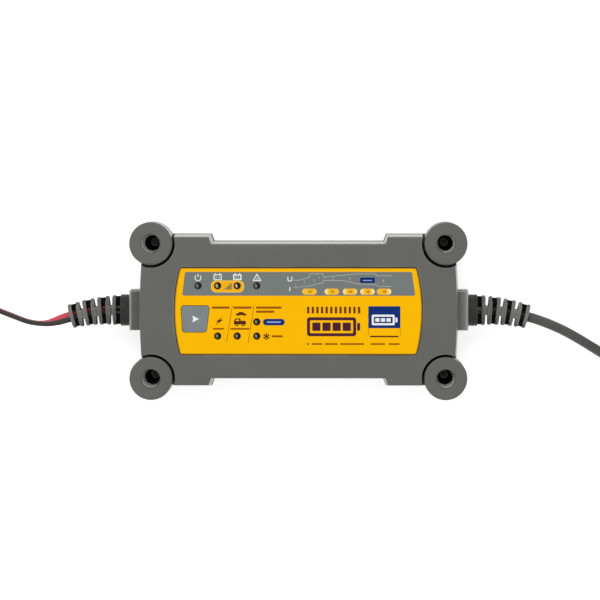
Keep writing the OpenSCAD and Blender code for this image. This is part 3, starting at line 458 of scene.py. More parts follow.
class Ink:
    """Everything printed in one colour, in a layer that lies on the layers below it."""

    def __init__(self, layer=1):
        self.shape = bmesh.new()
        self.low = LABEL_TOP - INK_SUNK
        self.high = LABEL_TOP + layer * INK_STEP

    def loop(self, points):
        """A loop of straight edges through the points."""
        corners = [self.shape.verts.new((x * MM, y * MM, self.low * MM)) for x, y in points]
        return [self.shape.edges.new(pair) for pair in zip(corners, corners[1:] + corners[:1])]

    def round_loop(self, corners, radius):
        """A circle whose quarters are moved apart until they round off the four corners."""
        half_step = Matrix.Rotation(math.pi / 16, 4, "Z")
        made = bmesh.ops.create_circle(self.shape, segments=16, radius=radius * MM,
                                       matrix=half_step)["verts"]
        for vert in made:
            right_side, upper = vert.co.x > 0, vert.co.y > 0
            x, y = corners[(0, 1, 3, 2)[right_side + 2 * upper]]
            x += -radius if right_side else radius
            y += -radius if upper else radius
            vert.co += Vector((x, y, self.low)) * MM
        return list({edge for vert in made for edge in vert.link_edges})

    def disc_loop(self, x, y, radius):
        return self.round_loop(box(x - radius, y - radius, x + radius, y + radius), radius)

    def thicken(self, faces):
        """Gives flat faces the thickness of the layer."""
        grown = bmesh.ops.extrude_face_region(self.shape, geom=faces)["geom"]
        top = [part for part in grown if isinstance(part, bmesh.types.BMVert)]
        bmesh.ops.translate(self.shape, vec=(0, 0, (self.high - self.low) * MM), verts=top)

    def fill(self, *loops):
        """Closes the area between the loops and gives it its thickness."""
        flat = bmesh.ops.triangle_fill(self.shape, use_beauty=True,
                                       edges=[edge for loop in loops for edge in loop])
        self.thicken([part for part in flat["geom"] if isinstance(part, bmesh.types.BMFace)])

    def area(self, *outlines):
        """A straight-edged area, and the holes in it."""
        self.fill(*[self.loop(points) for points in outlines])

    def bar(self, x0, y0, x1, y1, radius=0.15):
        self.fill(self.round_loop(box(x0, y0, x1, y1), radius))

    def line(self, points, width):
        """A line of one width through the points, mitred where it bends."""
        sides = ([], [])
        for i, here in enumerate(points):
            before = Vector(here) - Vector(points[i - 1]) if i else None
            after = Vector(points[i + 1]) - Vector(here) if i + 1 < len(points) else before
            before = (before or after).normalized()
            along = (before + after.normalized()).normalized()
            side = Vector((-along.y, along.x)) * (width / 2 / max(along.dot(before), 0.5))
            sides[0].append(Vector(here) + side)
            sides[1].append(Vector(here) - side)
        self.area(sides[0] + sides[1][::-1])

    def number(self, digits, x, y, size):
        """A number from Blender's own font, made a mesh before it is placed."""
        letters = bpy.data.curves.new("digits", "FONT")
        letters.body, letters.size, letters.extrude = digits, size * MM, 0
        letters.align_x, letters.align_y = "CENTER", "CENTER"
        holder = bpy.data.objects.new("digits", letters)
        flat = bpy.data.meshes.new_from_object(holder)
        flat.transform(Matrix.Translation(Vector((x, y, self.low)) * MM))
        before = set(self.shape.faces)
        self.shape.from_mesh(flat)
        self.thicken([face for face in self.shape.faces if face not in before])
        bpy.data.objects.remove(holder)
        bpy.data.meshes.remove(flat)

    def piece(self, name):
        """Ends the ink: what it printed becomes a piece on the label."""
        bmesh.ops.remove_doubles(self.shape, verts=self.shape.verts[:], dist=1e-7)
        bmesh.ops.recalc_face_normals(self.shape, faces=self.shape.faces[:])
        return new_piece(name, self.shape, smooth=False)


print("inks from", round(LABEL_TOP, 2), "mm up")

# %% [markdown]
# ## The status strip
# A grey strip runs along the label's upper edge. It is cut out round the lamps and the
# stage windows, whose middles come from the solids themselves. On it lie the yellow field
# that joins the two level lamps, a ramp between them, and the white signs.

# %% Grey strip
def middle(node):
    low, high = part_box(node)
    return (low[0] + high[0]) / 2 / MM, (low[1] + high[1]) / 2 / MM


LAMP_HOLE = 2.1
WINDOW_HALF = (4.1, 1.75)
LEVEL_LAMPS = ("led_level_low", "led_level_full")
STRIP_LAMPS = ("led_power", *LEVEL_LAMPS, "led_fault")
YELLOW_LAMPS = ("led_supply", "led_charge", "led_refresh", "led_cold")
WINDOWS = [f"stage_window_{i}" for i in range(1, 6)]

strip = Ink(1)
holes = [strip.disc_loop(*middle(led), LAMP_HOLE) for led in STRIP_LAMPS]
for window in WINDOWS:
    (x, y), (half_x, half_y) = middle(window), WINDOW_HALF
    holes.append(strip.round_loop(box(x - half_x, y - half_y, x + half_x, y + half_y), half_y))
STRIP = ((-65.2, 8.7), (65.7, 8.7), (64.0, 22.1), (-63.8, 22.1))
strip.fill(strip.round_loop(STRIP, 0.9), *holes)
strip_print = strip.piece("print_strip")

# %% Level field and ramp
field_edge, field = Ink(2), Ink(3)
FIELD, FIELD_ROUND, FIELD_RIM = (-49.1, 10.5, -30.4, 17.3), 3.0, 0.45
for ink, inset in ((field_edge, 0), (field, FIELD_RIM)):
    x0, y0, x1, y1 = FIELD
    rim = box(x0 + inset, y0 + inset, x1 - inset, y1 - inset)
    ink.fill(ink.round_loop(rim, FIELD_ROUND - inset),
             *[ink.disc_loop(*middle(led), LAMP_HOLE) for led in LEVEL_LAMPS])
field_edge_print = field_edge.piece("print_field_edge")
field_print = field.piece("print_field")
ramp_ink = Ink(4)
ramp_ink.area([(-41.9, 12.2), (-37.4, 12.2), (-37.4, 15.9)])
ramp_print = ramp_ink.piece("print_ramp")

# %% White signs
white = Ink(2)
x, y, reach = -56.4, 18.8, 1.7
white.line([polar(reach, a, x, y) for a in range(130, 411, 20)], 0.45)
white.bar(x - 0.22, y + 0.3, x + 0.22, y + 2.2)


def battery_sign(x, y, half, *windows):
    """A battery case with windows cut out of it, and two terminals on top."""
    white.fill(white.round_loop(box(x - half, y - 1.7, x + half, y + 1.5), 0.3),
               *[white.round_loop(window, 0.15) for window in windows])
    for side in (-1, 1):
        white.bar(x + side * 1.3 - 0.4, y + 1.4, x + side * 1.3 + 0.4, y + 2.1)


x, y = -45.3, 19.2
battery_sign(x, y, 2.3, box(x - 1.8, y - 1.2, x + 1.8, y + 1.0))
for side in (-1, 1):
    white.bar(x + side * 0.95 - 0.4, y - 0.3, x + side * 0.95 + 0.4, y + 0.05, 0.1)
white.bar(x + 0.78, y - 0.5, x + 1.12, y + 0.25, 0.1)

x, y = -34.2, 19.2
battery_sign(x, y, 2.4, *[box(x - 1.7 + i * 1.2, y - 1.1, x - 0.7 + i * 1.2, y + 0.9)
                          for i in range(3)])

x, y = -23.2, 18.9
white.area([(x - 2.5, y - 1.9), (x + 2.5, y - 1.9), (x, y + 2.4)],
           [(x - 1.6, y - 1.35), (x + 1.6, y - 1.35), (x, y + 1.35)])
white.fill(white.disc_loop(x, y - 0.6, 0.35))

white.line([(-5.8, 19.4), (-5.8, 17.6), (-5.4, 17.0), (-4.0, 17.0), (-3.6, 17.6), (-3.6, 19.4)],
           0.5)
white.bar(-5.0, 11.2, -4.5, 13.6)
white_print = white.piece("print_white_signs")

# %% [markdown]
# ## The charging curves
# Two fine lines show how voltage and current run through the stages, and small numbers
# name the stages, as numbers on a dial do. Their points are given in millimetres.

# %% Curves and numbers
CURVE_WIDTH = 0.28
curves = Ink(2)
curves.line([(-2.8, 17.4), (0.4, 17.4), (6.1, 19.0), (6.6, 21.0), (13.8, 21.0), (14.1, 19.0),
             (18.0, 19.5), (22.5, 20.0), (28.0, 20.5), (34.5, 21.0), (43.7, 21.0),
             (43.8, 19.9), (52.3, 19.9)], CURVE_WIDTH)
curves.line([(-2.6, 13.5), (-0.7, 13.5), (7.2, 14.4), (14.0, 16.1), (14.1, 17.3), (24.7, 17.3),
             (28.6, 16.6), (31.7, 15.6), (36.0, 15.3), (43.4, 15.1), (45.3, 13.9),
             (52.3, 13.9)], CURVE_WIDTH)
STAGE_NUMBERS = {"1": (-1.4, 15.0), "2": (3.4, 16.4), "3": (8.9, 17.2), "4": (11.6, 18.9),
                 "5": (19.6, 18.6), "6": (29.0, 18.2), "8": (47.8, 17.0)}
for digits, (x, y) in STAGE_NUMBERS.items():
    curves.number(digits, x, y, 1.9)
curves_print = curves.piece("print_curves")

# %% [markdown]
# ## Fields and signs on the yellow
# The lower half groups the lamps under short headings. Where a label of this kind carries
# words, plain rules stand in for them, and a battery with its cells and a row of gauge
# ticks fill the place of the large type.

# %% Blue fields
blue = Ink(3)
blue.bar(34.8, 15.9, 43.0, 18.9, 0.4)
blue_print = blue.piece("print_stage_field")
BADGE = (39.4, -9.5, 57.4, 2.8)
navy = Ink(1)
navy.bar(-19.8, -8.0, -7.6, -4.3, 1.8)
navy.bar(*BADGE, 0.1)
navy_print = navy.piece("print_blue_fields")

pale = Ink(4)
pale.bar(36.3, 17.0, 41.5, 17.6, 0.2)
pale.bar(-17.6, -6.6, -9.8, -5.7, 0.3)
pale_print = pale.piece("print_pale_rules")

# %% White battery in the blue badge
emblem = Ink(2)
x0, y0, x1, y1 = 41.3, -7.9, 54.3, -1.9
emblem.fill(emblem.round_loop(box(x0, y0, x1, y1), 0.9),
            emblem.round_loop(box(x0 + 1.2, y0 + 1.2, x1 - 1.2, y1 - 1.2), 0.3))
emblem.bar(x1 + 0.35, -6.2, x1 + 1.5, -3.6, 0.3)
for i in range(3):
    emblem.bar(x0 + 2.0 + i * 3.15, y0 + 2.0, x0 + 4.4 + i * 3.15, y1 - 2.0, 0.25)
emblem_print = emblem.piece("print_emblem")

# %% Brown rules and separators, the rules as rows: how high, and from where to where
RULES = {(1.4, 2.6): ((-48.6, -38.6), (-36.4, -26.2), (-23.8, -9.4)),
         (-0.9, 0.3): ((-23.8, -13.4),), (-14.7, -13.6): ((-14.8, -8.7),),
         (-10.4, -9.5): ((-48.1, -41.8), (-38.1, -27.4)),
         (-18.9, -18.0): ((4.9, 6.2), (7.6, 13.6), (15.0, 22.2), (23.6, 37.0), (40.8, 48.8),
                          (50.8, 57.0))}
brown = Ink(1)
for (y0, y1), spans in RULES.items():
    for x0, x1 in spans:
        brown.bar(x0, y0, x1, y1, 0.3)
for high, low in (((-37.0, 3.2), (-40.3, -17.3)), ((-24.9, 3.2), (-28.1, -17.7))):
    brown.line([high, low], 0.28)
for x in (BADGE[0] + 0.1, BADGE[2] - 0.1):
    brown.line([(x, -9.4), (x, -13.6)], 0.2)
brown_print = brown.piece("print_brown_rules")

# %% Signs of supply and charge
signs = Ink(1)
signs.area([(-42.4, -3.0), (-46.4, -6.1), (-44.8, -6.0), (-46.5, -8.0), (-42.3, -4.8),
            (-43.9, -4.8)])
signs.area([(-35.2, -2.2), (-35.0, -1.4), (-33.9, -1.2), (-33.2, -0.5), (-31.2, -0.5),
            (-30.2, -1.3), (-29.2, -1.5), (-29.0, -2.2)])
for x in (-33.8, -30.4):
    signs.fill(signs.disc_loop(x, -2.3, 0.45))
signs.area([(-36.2, -7.4), (-36.2, -5.6), (-35.2, -4.1), (-32.6, -4.1), (-32.4, -5.4),
            (-29.6, -5.4), (-29.3, -7.4)],
           [(-35.3, -5.6), (-34.8, -4.7), (-33.4, -4.7), (-33.2, -5.6)])
for x in (-34.5, -30.9):
    signs.fill(signs.disc_loop(x, -7.5, 0.95), signs.disc_loop(x, -7.5, 0.4))
x, y, arm = -17.9, -14.3, 1.8
for turn in (30, 90, 150):
    signs.line([polar(-arm, turn, x, y), polar(arm, turn, x, y)], 0.5)
    for end in (-1, 1):
        root = polar(0.62 * arm * end, turn, x, y)
        for fork in (-50, 50):
            signs.line([root, polar(0.75 * end, turn + fork, *root)], 0.35)
signs.line([(BADGE[0] + 1.0, -14.2), (BADGE[2] - 1.0, -14.2)], 0.8)
signs_print = signs.piece("print_dark_signs")

# %% Gauge ticks and the battery with its cells
ticks = Ink(1)
for i in range(12):
    x = 5.6 + i * 2.6
    ticks.bar(x - 0.65, -1.3, x + 0.65, 2.5, 0.25)
ticks_print = ticks.piece("print_ticks")
cells = Ink(1)
STROKE = 1.7
x0, y0, x1, y1 = 4.9, -14.1, 32.6, -3.4
cells.fill(cells.round_loop(box(x0, y0, x1, y1), 1.6),
           cells.round_loop(box(x0 + STROKE, y0 + STROKE, x1 - STROKE, y1 - STROKE), 0.6))
cells.bar(x1 + 0.5, -10.9, x1 + 2.2, -6.6, 0.5)
for i in range(4):
    x = x0 + 3.0 + i * 5.7
    cells.bar(x, y0 + 3.0, x + 4.6, y1 - 3.0, 0.5)
cells_print = cells.piece("print_battery_cells")

# %% [markdown]
# ## Mixing finishes
# A finish is more than a colour: moulded plastic has a fine grain, slow patches where it
# cooled, and paler edges, partly worn by hands and partly a painted highlight. One small
# class holds a material while it is mixed. It gives the place of a point in millimetres, from
# the object's own coordinates, so a pattern stays put on its piece, and it makes the noise,
# bump and edge masks from it.

# %% Finish
class Finish:
    """A material in the making, and where a point of it lies in millimetres."""

    def __init__(self, name, base, **fixed):
        self.material = bpy.data.materials.new(name)
        self.material.use_nodes = True
        self.tree = self.material.node_tree
        self.shader = self.tree.nodes["Principled BSDF"]
        place = Wire(self.tree).node("ShaderNodeTexCoord", output="Object")
        self.spot = place.node("ShaderNodeVectorMath", {"operation": "SCALE"},
                               {0: place, "Scale": 1 / MM})
        self.x = place.node("ShaderNodeSeparateXYZ", inputs={0: self.spot})
        self.y, self.z = self.x.beside("Y"), self.x.beside("Z")
        self.base = base
        for name, value in fixed.items():
            socket = name.replace("_", " ").title().replace("Ior", "IOR")
            self.shader.inputs[socket].default_value = value

    def link(self, name, value):
        plug(self.tree, self.shader.inputs[name], value)

    def noise(self, size, detail=2, stretch=(1, 1, 1)):
        """Cloudy noise from 0 to 1 whose clouds are about size millimetres across."""
        spot = self.spot.node("ShaderNodeVectorMath", {"operation": "MULTIPLY"},
                              {0: self.spot, 1: stretch})
        return spot.node("ShaderNodeTexNoise", None,
                         {"Vector": spot, "Scale": 1 / size, "Detail": detail})

    def facing(self, axis="Z"):
        """How far the surface faces along an axis, from -1 to 1."""
        normal = self.spot.node("ShaderNodeNewGeometry", output="Normal")
        return normal.node("ShaderNodeSeparateXYZ", inputs={0: normal}, output=axis)

    def edges(self, radius):
        """1 along convex and concave edges, falling to 0 within the radius."""
        soft = self.spot.node("ShaderNodeBevel", {"samples": 4}, {"Radius": radius * MM})
        sharp = self.spot.node("ShaderNodeNewGeometry", output="Normal")
        return 1 - soft.node("ShaderNodeVectorMath", {"operation": "DOT_PRODUCT"},
                             {0: soft, 1: sharp}, "Value")

    def paint(self, share, tone):
        """Lays another tone over the base where share is 1."""
        self.base = blend(share, self.base, tone)
        self.link("Base Color", self.base)
        return self

    def relief(self, height, depth):
        """Bump of the given depth in millimetres where height goes from 0 to 1."""
        self.link("Normal", self.spot.node("ShaderNodeBump", None,
                                           {"Height": height, "Distance": depth * MM}))
        return self

    def on(self, *names):
        """Puts the finish on solids of the frame, or on new pieces."""
        for name in names:
            piece = nodes[name] if isinstance(name, str) else name
            piece.data.materials.clear()
            piece.data.materials.append(self.material)
            print(self.material.name, "on", piece.name)
        return self


print("finishes ready")


# %% Moulded plastic
WEAR_AND_HIGHLIGHT_EDGE = 0.9


def shade(tone, factor):
    return tuple(min(value * factor, 1) for value in tone[:3]) + (1,)


def moulded(name, tone, grain=0.6, depth=0.01, gloss=0.5, patch=15, spread=0.07, wear_and_highlight=None,
            **fixed):
    """Plastic or rubber from a mould: grain, slow patches of tone, and paler edges that are partly
    wear and partly a painted highlight.
    """
    finish = Finish(name, tone, **fixed)
    slow, fine = finish.noise(patch, 3), finish.noise(grain, 2)
    finish.base = blend(slow.ramp(0.3, 0.7), shade(tone, 1 - spread), shade(tone, 1 + spread))
    finish.paint(fine.ramp(0.35, 0.75) * 0.25, shade(tone, 1.25))
    # paler edges: wear on some parts, and a painted highlight on the housing
    if wear_and_highlight:
        finish.paint(finish.edges(WEAR_AND_HIGHLIGHT_EDGE).ramp(0.03, 0.3) * slow.ramp(0.2, 0.6) * 0.6, wear_and_highlight)
    finish.link("Roughness", (slow - 0.5) * 0.2 + (fine - 0.5) * 0.15 + gloss)
    return finish.relief(fine, depth)


print("worn edges reach in by", WEAR_AND_HIGHLIGHT_EDGE, "mm")

# %% [markdown]
# ## The housing
# Both shells are a grey glass-filled plastic from a spark-eroded mould: matt and finely
# grained, with a painted highlight on the walls and along the edges. One material serves
# both, and masks made from the place of a point lay the rest over it, so no piece has to be
# cut up for a colour.

# %% Housing plastic
HOUSING_GREY, WALL_HIGHLIGHT = colour(86, 87, 81), colour(100, 100, 95)
# the paler edges given to the housing here are a painted highlight
shell = moulded("housing_grey", HOUSING_GREY, grain=0.45, depth=0.02, patch=22, spread=0.05,
                wear_and_highlight=colour(158, 158, 152))
flat = abs(shell.facing()).ramp(0.3, 0.9)
# painted highlight: walls that face sideways are lighter than the face
shell.paint(1 - flat, WALL_HIGHLIGHT)
moulded("seal_rubber", colour(22, 22, 22), gloss=0.45).on("housing_seal")

# %% [markdown]
# The bores of the posts are painted black below their mouths as painted shade, with a thin
# ring of painted shade round each mouth. A mouth's own wall carries a painted highlight:
# lower down all round, and further up only on the side that shows from above LIT_FROM, the
# point of the table that the camera stands over. The signs of a point's coordinates tell
# which post it belongs to, so one mask serves all four.

# %% Bores of the posts
BORE_SHADE, MOUTH_RING_SHADE, MOUTH_HIGHLIGHT = colour(8, 8, 7), colour(46, 44, 40), colour(226, 224, 220)
MOUTH_RADIUS, MOUTH_FOOT, MOUTH_RING = 5.25, 32.5, 5.55
MOUTH_LIT, MOUTH_DEEP, LIT_FROM, LIT_SOFT = (54.0, 54.9), (45, 50), (29, 76), 120
from_post = (abs(shell.x) - POST_PLACE[0]).distance(abs(shell.y) - POST_PLACE[1])
in_bore = from_post < MOUTH_RADIUS
shaded_bore = in_bore * (shell.z < MOUTH_FOOT)
# painted shade: the bores are black below their mouths
shell.paint(shaded_bore, BORE_SHADE)
# painted shade: a dark ring round each mouth
shell.paint((from_post < MOUTH_RING) * (1 - in_bore) * (shell.z > MOUTH_FOOT), MOUTH_RING_SHADE)
post_x, post_y = ((side > 0) * 2 * place - place
                  for side, place in zip((shell.x, shell.y), POST_PLACE))
lit = (shell.x - post_x) * (post_x - LIT_FROM[0]) + (shell.y - post_y) * (post_y - LIT_FROM[1])
lit = lit.ramp(0, LIT_SOFT) * (1 - shell.z.ramp(*MOUTH_LIT))
lit = lit.most(1 - shell.z.ramp(*MOUTH_DEEP))
# painted highlight on the walls of the mouths
shell.paint(in_bore * (shell.z > MOUTH_FOOT) * (1 - flat) * lit, MOUTH_HIGHLIGHT)
print("mouths end", MOUTH_FOOT, "mm up")

# %% [markdown]
# The groove round the label is painted dark brown, a painted shade with a painted reflection
# of the film beside it. The ends of the glands carry a painted highlight, more on the right
# one, and the wall is duller just above the parting line, where the two shells were trimmed.

# %% Groove, glands and parting line
GROOVE_SHADE, GLAND_HIGHLIGHT = colour(45, 38, 30), colour(164, 164, 158)
GROOVE_FOOT, GROOVE_TOP, GROOVE_X, GROOVE_Y = 53.6, 54.45, 72, 26
GLAND_NEAR, GLAND_RIM, GLAND_END = 89, 94.6, 95.6
PARTING, WALL_SHADE = 27.6, 35
groove = (shell.z > GROOVE_FOOT) * (shell.z < GROOVE_TOP)
groove *= (abs(shell.x) < GROOVE_X) * (abs(shell.y) < GROOVE_Y)
# painted highlight: the right gland lighter towards its end, and the rims of both
shell.paint(shell.x.ramp(GLAND_NEAR, GLAND_END) * (shell.z < GROOVE_FOOT) * 0.4, GLAND_HIGHLIGHT)
shell.paint(abs(shell.x).ramp(GLAND_RIM, GLAND_END) * (shell.z < GROOVE_FOOT), GLAND_HIGHLIGHT)
# painted shade with a painted reflection of the film, in the groove round the label
shell.paint(groove, GROOVE_SHADE).on("base_shell", "front_cover")
wall_band = (shell.z > PARTING) * (shell.z < WALL_SHADE) * (1 - flat)
shell.link("Roughness", (shell.noise(0.45) * 0.15 + flat * 0.2 + 0.28).most(shaded_bore.most(wall_band)))

# %% [markdown]
# ## Strain reliefs and leads
# The reliefs are a softer rubber, with a painted highlight on the edges of its rings. Their
# slots are painted dark as painted shade, as are the leads inside them, because soft light
# fills them more than it should. The mains sheath is satin PVC. The flat lead is red on one
# side and black on the other, also inside the glands, where the two conductors are told
# apart by the side that they lie on.

# %% Reliefs
SLOT_SHADE, SLOT_LEVEL, RELIEF_END, COLLAR_END = colour(4, 4, 4), 31.5, 130.6, 101.6
COLLAR_GREY, RING_NEAR, RING_FAR = colour(60, 60, 59), colour(82, 82, 80), colour(112, 111, 108)
RING_EDGE_HIGHLIGHT = colour(162, 160, 155)
relief = moulded("relief_rubber", COLLAR_GREY, grain=0.7, depth=0.03, patch=5,
                 spread=0.12, specular_ior_level=0.08)
outwards = abs(relief.x)
rings = blend(outwards.ramp(COLLAR_END, RELIEF_END), RING_NEAR, RING_FAR)
relief.paint(outwards > COLLAR_END, rings)
# painted highlight along the edges of the rings
relief.paint(relief.edges(0.8).ramp(0.01, 0.12) * (outwards > COLLAR_END), RING_EDGE_HIGHLIGHT)
flank = (abs(relief.facing()) < 0.5) * (abs(relief.facing("X")) > 0.7) * (outwards < RELIEF_END)
floor = (relief.facing() > 0.5) * (relief.z < SLOT_LEVEL)
# painted shade in the slots and on the flanks of the rings
relief.paint(flank.most(floor) * (outwards > COLLAR_END - 0.5), SLOT_SHADE)
relief.on("mains_strain_relief", "battery_strain_relief")

# %% Lead sheaths
SHEATH_GREY, LEAD_RED, LEAD_BLACK = colour(80, 80, 77), colour(212, 82, 96), colour(60, 53, 50)
RED_SHADE = colour(104, 30, 42)
mains_pvc = moulded("mains_pvc", SHEATH_GREY, grain=0.8, depth=0.02, gloss=0.4, patch=6,
                    specular_ior_level=0.18)
# painted shade on the sheath inside the relief
mains_pvc.paint(mains_pvc.x < RELIEF_END, SLOT_SHADE).on(mains_sheath)
for name, tone, gloss, shaded in (("black_pvc", LEAD_BLACK, 0.38, SLOT_SHADE),
                                  ("red_pvc", LEAD_RED, 0.35, RED_SHADE)):
    pvc = moulded(name, tone, gloss=gloss, patch=5, specular_ior_level=0.2)
    battery_flex.data.materials.append(pvc.paint(pvc.x > -RELIEF_END, shaded).material)
    print(name, "on one side of the flat lead")

# %% Conductors inside the glands
SPLIT, JACKET_START = -0.4, 80
WIRE_BROWN, WIRE_BLUE = colour(96, 56, 34), colour(40, 84, 150)
pair = moulded("inner_battery_wires", LEAD_BLACK, gloss=0.38)
pair.paint(pair.y > SPLIT, LEAD_RED)
# painted shade on the wires where they run on into the relief
pair.paint(pair.x < -GLAND_END, SLOT_SHADE).on("battery_wires")
cores = moulded("inner_mains_wires", SHEATH_GREY, grain=0.7, gloss=0.4)
cores.paint(cores.x < JACKET_START, blend(cores.y > SPLIT, WIRE_BROWN, WIRE_BLUE))
# painted shade on the wires where they run on into the relief
cores.paint(cores.x > GLAND_END, SLOT_SHADE).on("mains_wires")

# %% Plugs and ties
PLUG_BLACK = colour(40, 40, 40)
moulded("plug_pvc", PLUG_BLACK, grain=0.5, depth=0.02, gloss=0.45, patch=8,
        wear_and_highlight=colour(84, 84, 84)).on("mains_plug", "battery_connector")
moulded("strap_rubber", colour(34, 34, 34), grain=0.9, depth=0.03, gloss=0.6).on(
    mains_tie, battery_tie)

# %% [markdown]
# ## Metals
# Plated and drawn metal differ in how they are scratched: drawn pins and folded sheet have
# fine lines along one direction, so the noise is stretched along that axis.

# %% Metals
def metal(name, tone, gloss, along=(1, 1, 1), size=0.5, depth=0.004, tarnish=None):
    """Metal with fine scratches along one axis and a cloudy tarnish."""
    finish = Finish(name, tone, metallic=1.0)
    lines, slow = finish.noise(size, 3, along), finish.noise(4, 3)
    finish.base = blend(lines.ramp(0.3, 0.7), shade(tone, 0.85), tone)
    finish.paint(slow.ramp(0.45, 0.8) * 0.4, tarnish or shade(tone, 0.7))
    finish.link("Roughness", (lines - 0.5) * 0.3 + (slow - 0.5) * 0.2 + gloss)
    return finish.relief(lines, depth)


ZINC, NICKEL, BRASS = colour(196, 198, 202), colour(206, 204, 198), colour(212, 176, 98)
ALUMINIUM, COPPER = colour(205, 206, 208), colour(190, 112, 66)
metal("zinc_plate", ZINC, 0.34, tarnish=colour(176, 168, 138)).on(
    "housing_screws", "control_board_screws", "main_board_screws")
metal("brass_contact", BRASS, 0.26, (1, 8, 8), tarnish=colour(150, 110, 60)).on("battery_contacts")
metal("heatsink_sheet", ALUMINIUM, 0.4, (6, 6, 0.6), 0.8).on(
    "primary_heatsink", "secondary_heatsink")

# %% Plug pins with insulated necks
PIN_START, PIN_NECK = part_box("mains_plug_pins")[0][0] / MM, 9.5
pins = metal("nickel_pins", NICKEL, 0.2, (0.5, 6, 6))
neck = pins.x < PIN_START + PIN_NECK
pins.paint(neck, PLUG_BLACK).on("mains_plug_pins")
pins.link("Metallic", 1 - neck)
pins.link("Roughness", neck * 0.3 + 0.2)

# %% [markdown]
# ## Label film and key
# The film is printed from behind, so its colour lies under a smooth, faintly pebbled skin.
# A rim along its edge is painted darker, as painted shade next to the groove. Each ink is
# the same film in a colour of its own. The key is a softer satin plastic, with a white arrow
# painted where its coordinates fall inside three slanted sides.

# %% Film
FILM_YELLOW, FILM_EDGE_SHADE = colour(255, 188, 0), colour(186, 138, 30)
END_CENTRE, END_RADIUS, HALF_WIDTH, RIM = 24.5, 94.0, 24.3, 0.55


def film(name, tone, edge=None, depth=0.004):
    """Printed polyester film: even ink, a faint pebble in the skin and a slow sheen."""
    finish = Finish(name, tone, specular_ior_level=0.035)
    slow, pebble = finish.noise(30, 2), finish.noise(0.8, 2)
    finish.base = blend(slow, shade(tone, 0.975), shade(tone, 1.02))
    finish.paint(pebble.ramp(0.4, 0.8) * 0.12, shade(tone, 1.12))
    if edge:
        bowed = (abs(finish.x) + END_CENTRE).distance(finish.y)
        rim = (bowed > END_RADIUS - RIM).most(abs(finish.y) > HALF_WIDTH - RIM)
        # painted shade: a darker rim along the film's edge
        finish.paint(rim, edge)
    finish.link("Roughness", (slow - 0.5) * 0.1 + (pebble - 0.5) * 0.12 + 0.4)
    return finish.relief(pebble, depth)


film("film_yellow", FILM_YELLOW, FILM_EDGE_SHADE).on("front_label")

# %% Finishes of the inks
INKS = [("strip", (119, 125, 123), strip_print), ("field_edge", (255, 206, 92), field_edge_print),
        ("field", (246, 178, 20), field_print), ("ramp", (140, 132, 84), ramp_print),
        ("white", (240, 240, 238), white_print, emblem_print),
        ("curves", (186, 188, 186), curves_print), ("stage_blue", (12, 38, 114), blue_print),
        ("blue", (18, 48, 118), navy_print), ("pale", (150, 160, 205), pale_print),
        ("brown", (150, 84, 16), brown_print), ("dark", (84, 40, 22), signs_print),
        ("red_brown", (112, 52, 30), ticks_print), ("plum", (74, 34, 52), cells_print)]
for name, tone, *prints in INKS:
    film(f"ink_{name}", colour(*tone)).on(*prints)

# %% Key
KEY_X, KEY_Y = middle("mode_key")
KEY_GREY = colour(116, 123, 124)
key = moulded("key_satin", KEY_GREY, grain=0.5, gloss=0.42, patch=9,
              wear_and_highlight=colour(160, 166, 166))
ARROW_BACK, ARROW_TIP, ARROW_SPREAD, ARROW_NOTCH = -1.7, 2.1, 1.9, 0.25
arrow_x, arrow_y = key.x - (KEY_X + 0.1), abs(key.y - KEY_Y)
slope = ARROW_SPREAD / (ARROW_TIP - ARROW_BACK)
arrow = (ARROW_TIP - arrow_x) * slope - arrow_y > 0
arrow *= arrow_x + arrow_y * ARROW_NOTCH > ARROW_BACK + 0.5
key.paint(arrow * (key.facing() > 0.7), colour(236, 240, 240)).on("mode_key")
print("key middle", round(KEY_X, 2), round(KEY_Y, 2))

# %% [markdown]
# ## Lamps and windows
# An unlit lamp is a dome of tinted epoxy: dark, because its light comes from a chip far
# below, with a sharp highlight, and a painted highlight on its left. The stage windows are
# pale light guides that let the yellow round them shine in, with a painted highlight at
# their ends that differs a little from one to the next, and a darker heart over its chip.

# %% Lamps
LAMP_DARK, LAMP_BROWN, LAMP_HIGHLIGHT_GREY = colour(20, 20, 20), colour(34, 20, 8), colour(128, 133, 131)
LAMP_HIGHLIGHT_CREAM, LAMP_HIGHLIGHT_OLIVE = colour(232, 210, 146), colour(150, 134, 96)
DOME_RADIUS, RIM_RADIUS = 1.5, 2.3


def lamp_finish(led, tone, pale, reach):
    """Smoky epoxy, with a painted highlight on the left of the dome."""
    x, y = middle(led)
    finish = Finish(f"{led}_dome", tone, coat_weight=0.3, coat_roughness=0.03)
    across, up, cloud = finish.x - x, finish.y - y, finish.noise(1.2, 2)
    finish.base = blend(cloud, shade(tone, 0.7), tone)
    inside = 1 - across.distance(up).ramp(reach - 0.4, reach)
    # painted highlight on the left of the dome, in the colour given as pale
    finish.paint((0 - across - up * 0.3).ramp(-0.1, 0.4) * inside, pale)
    finish.link("Roughness", cloud * 0.08 + 0.08)
    finish.relief(cloud, 0.006).on(led)


for led in ("led_power", "led_fault"):
    lamp_finish(led, LAMP_DARK, LAMP_HIGHLIGHT_GREY, RIM_RADIUS)
for led in LEVEL_LAMPS:
    lamp_finish(led, LAMP_BROWN, LAMP_HIGHLIGHT_CREAM, DOME_RADIUS)
for led in YELLOW_LAMPS:
    lamp_finish(led, LAMP_BROWN, LAMP_HIGHLIGHT_OLIVE, DOME_RADIUS)

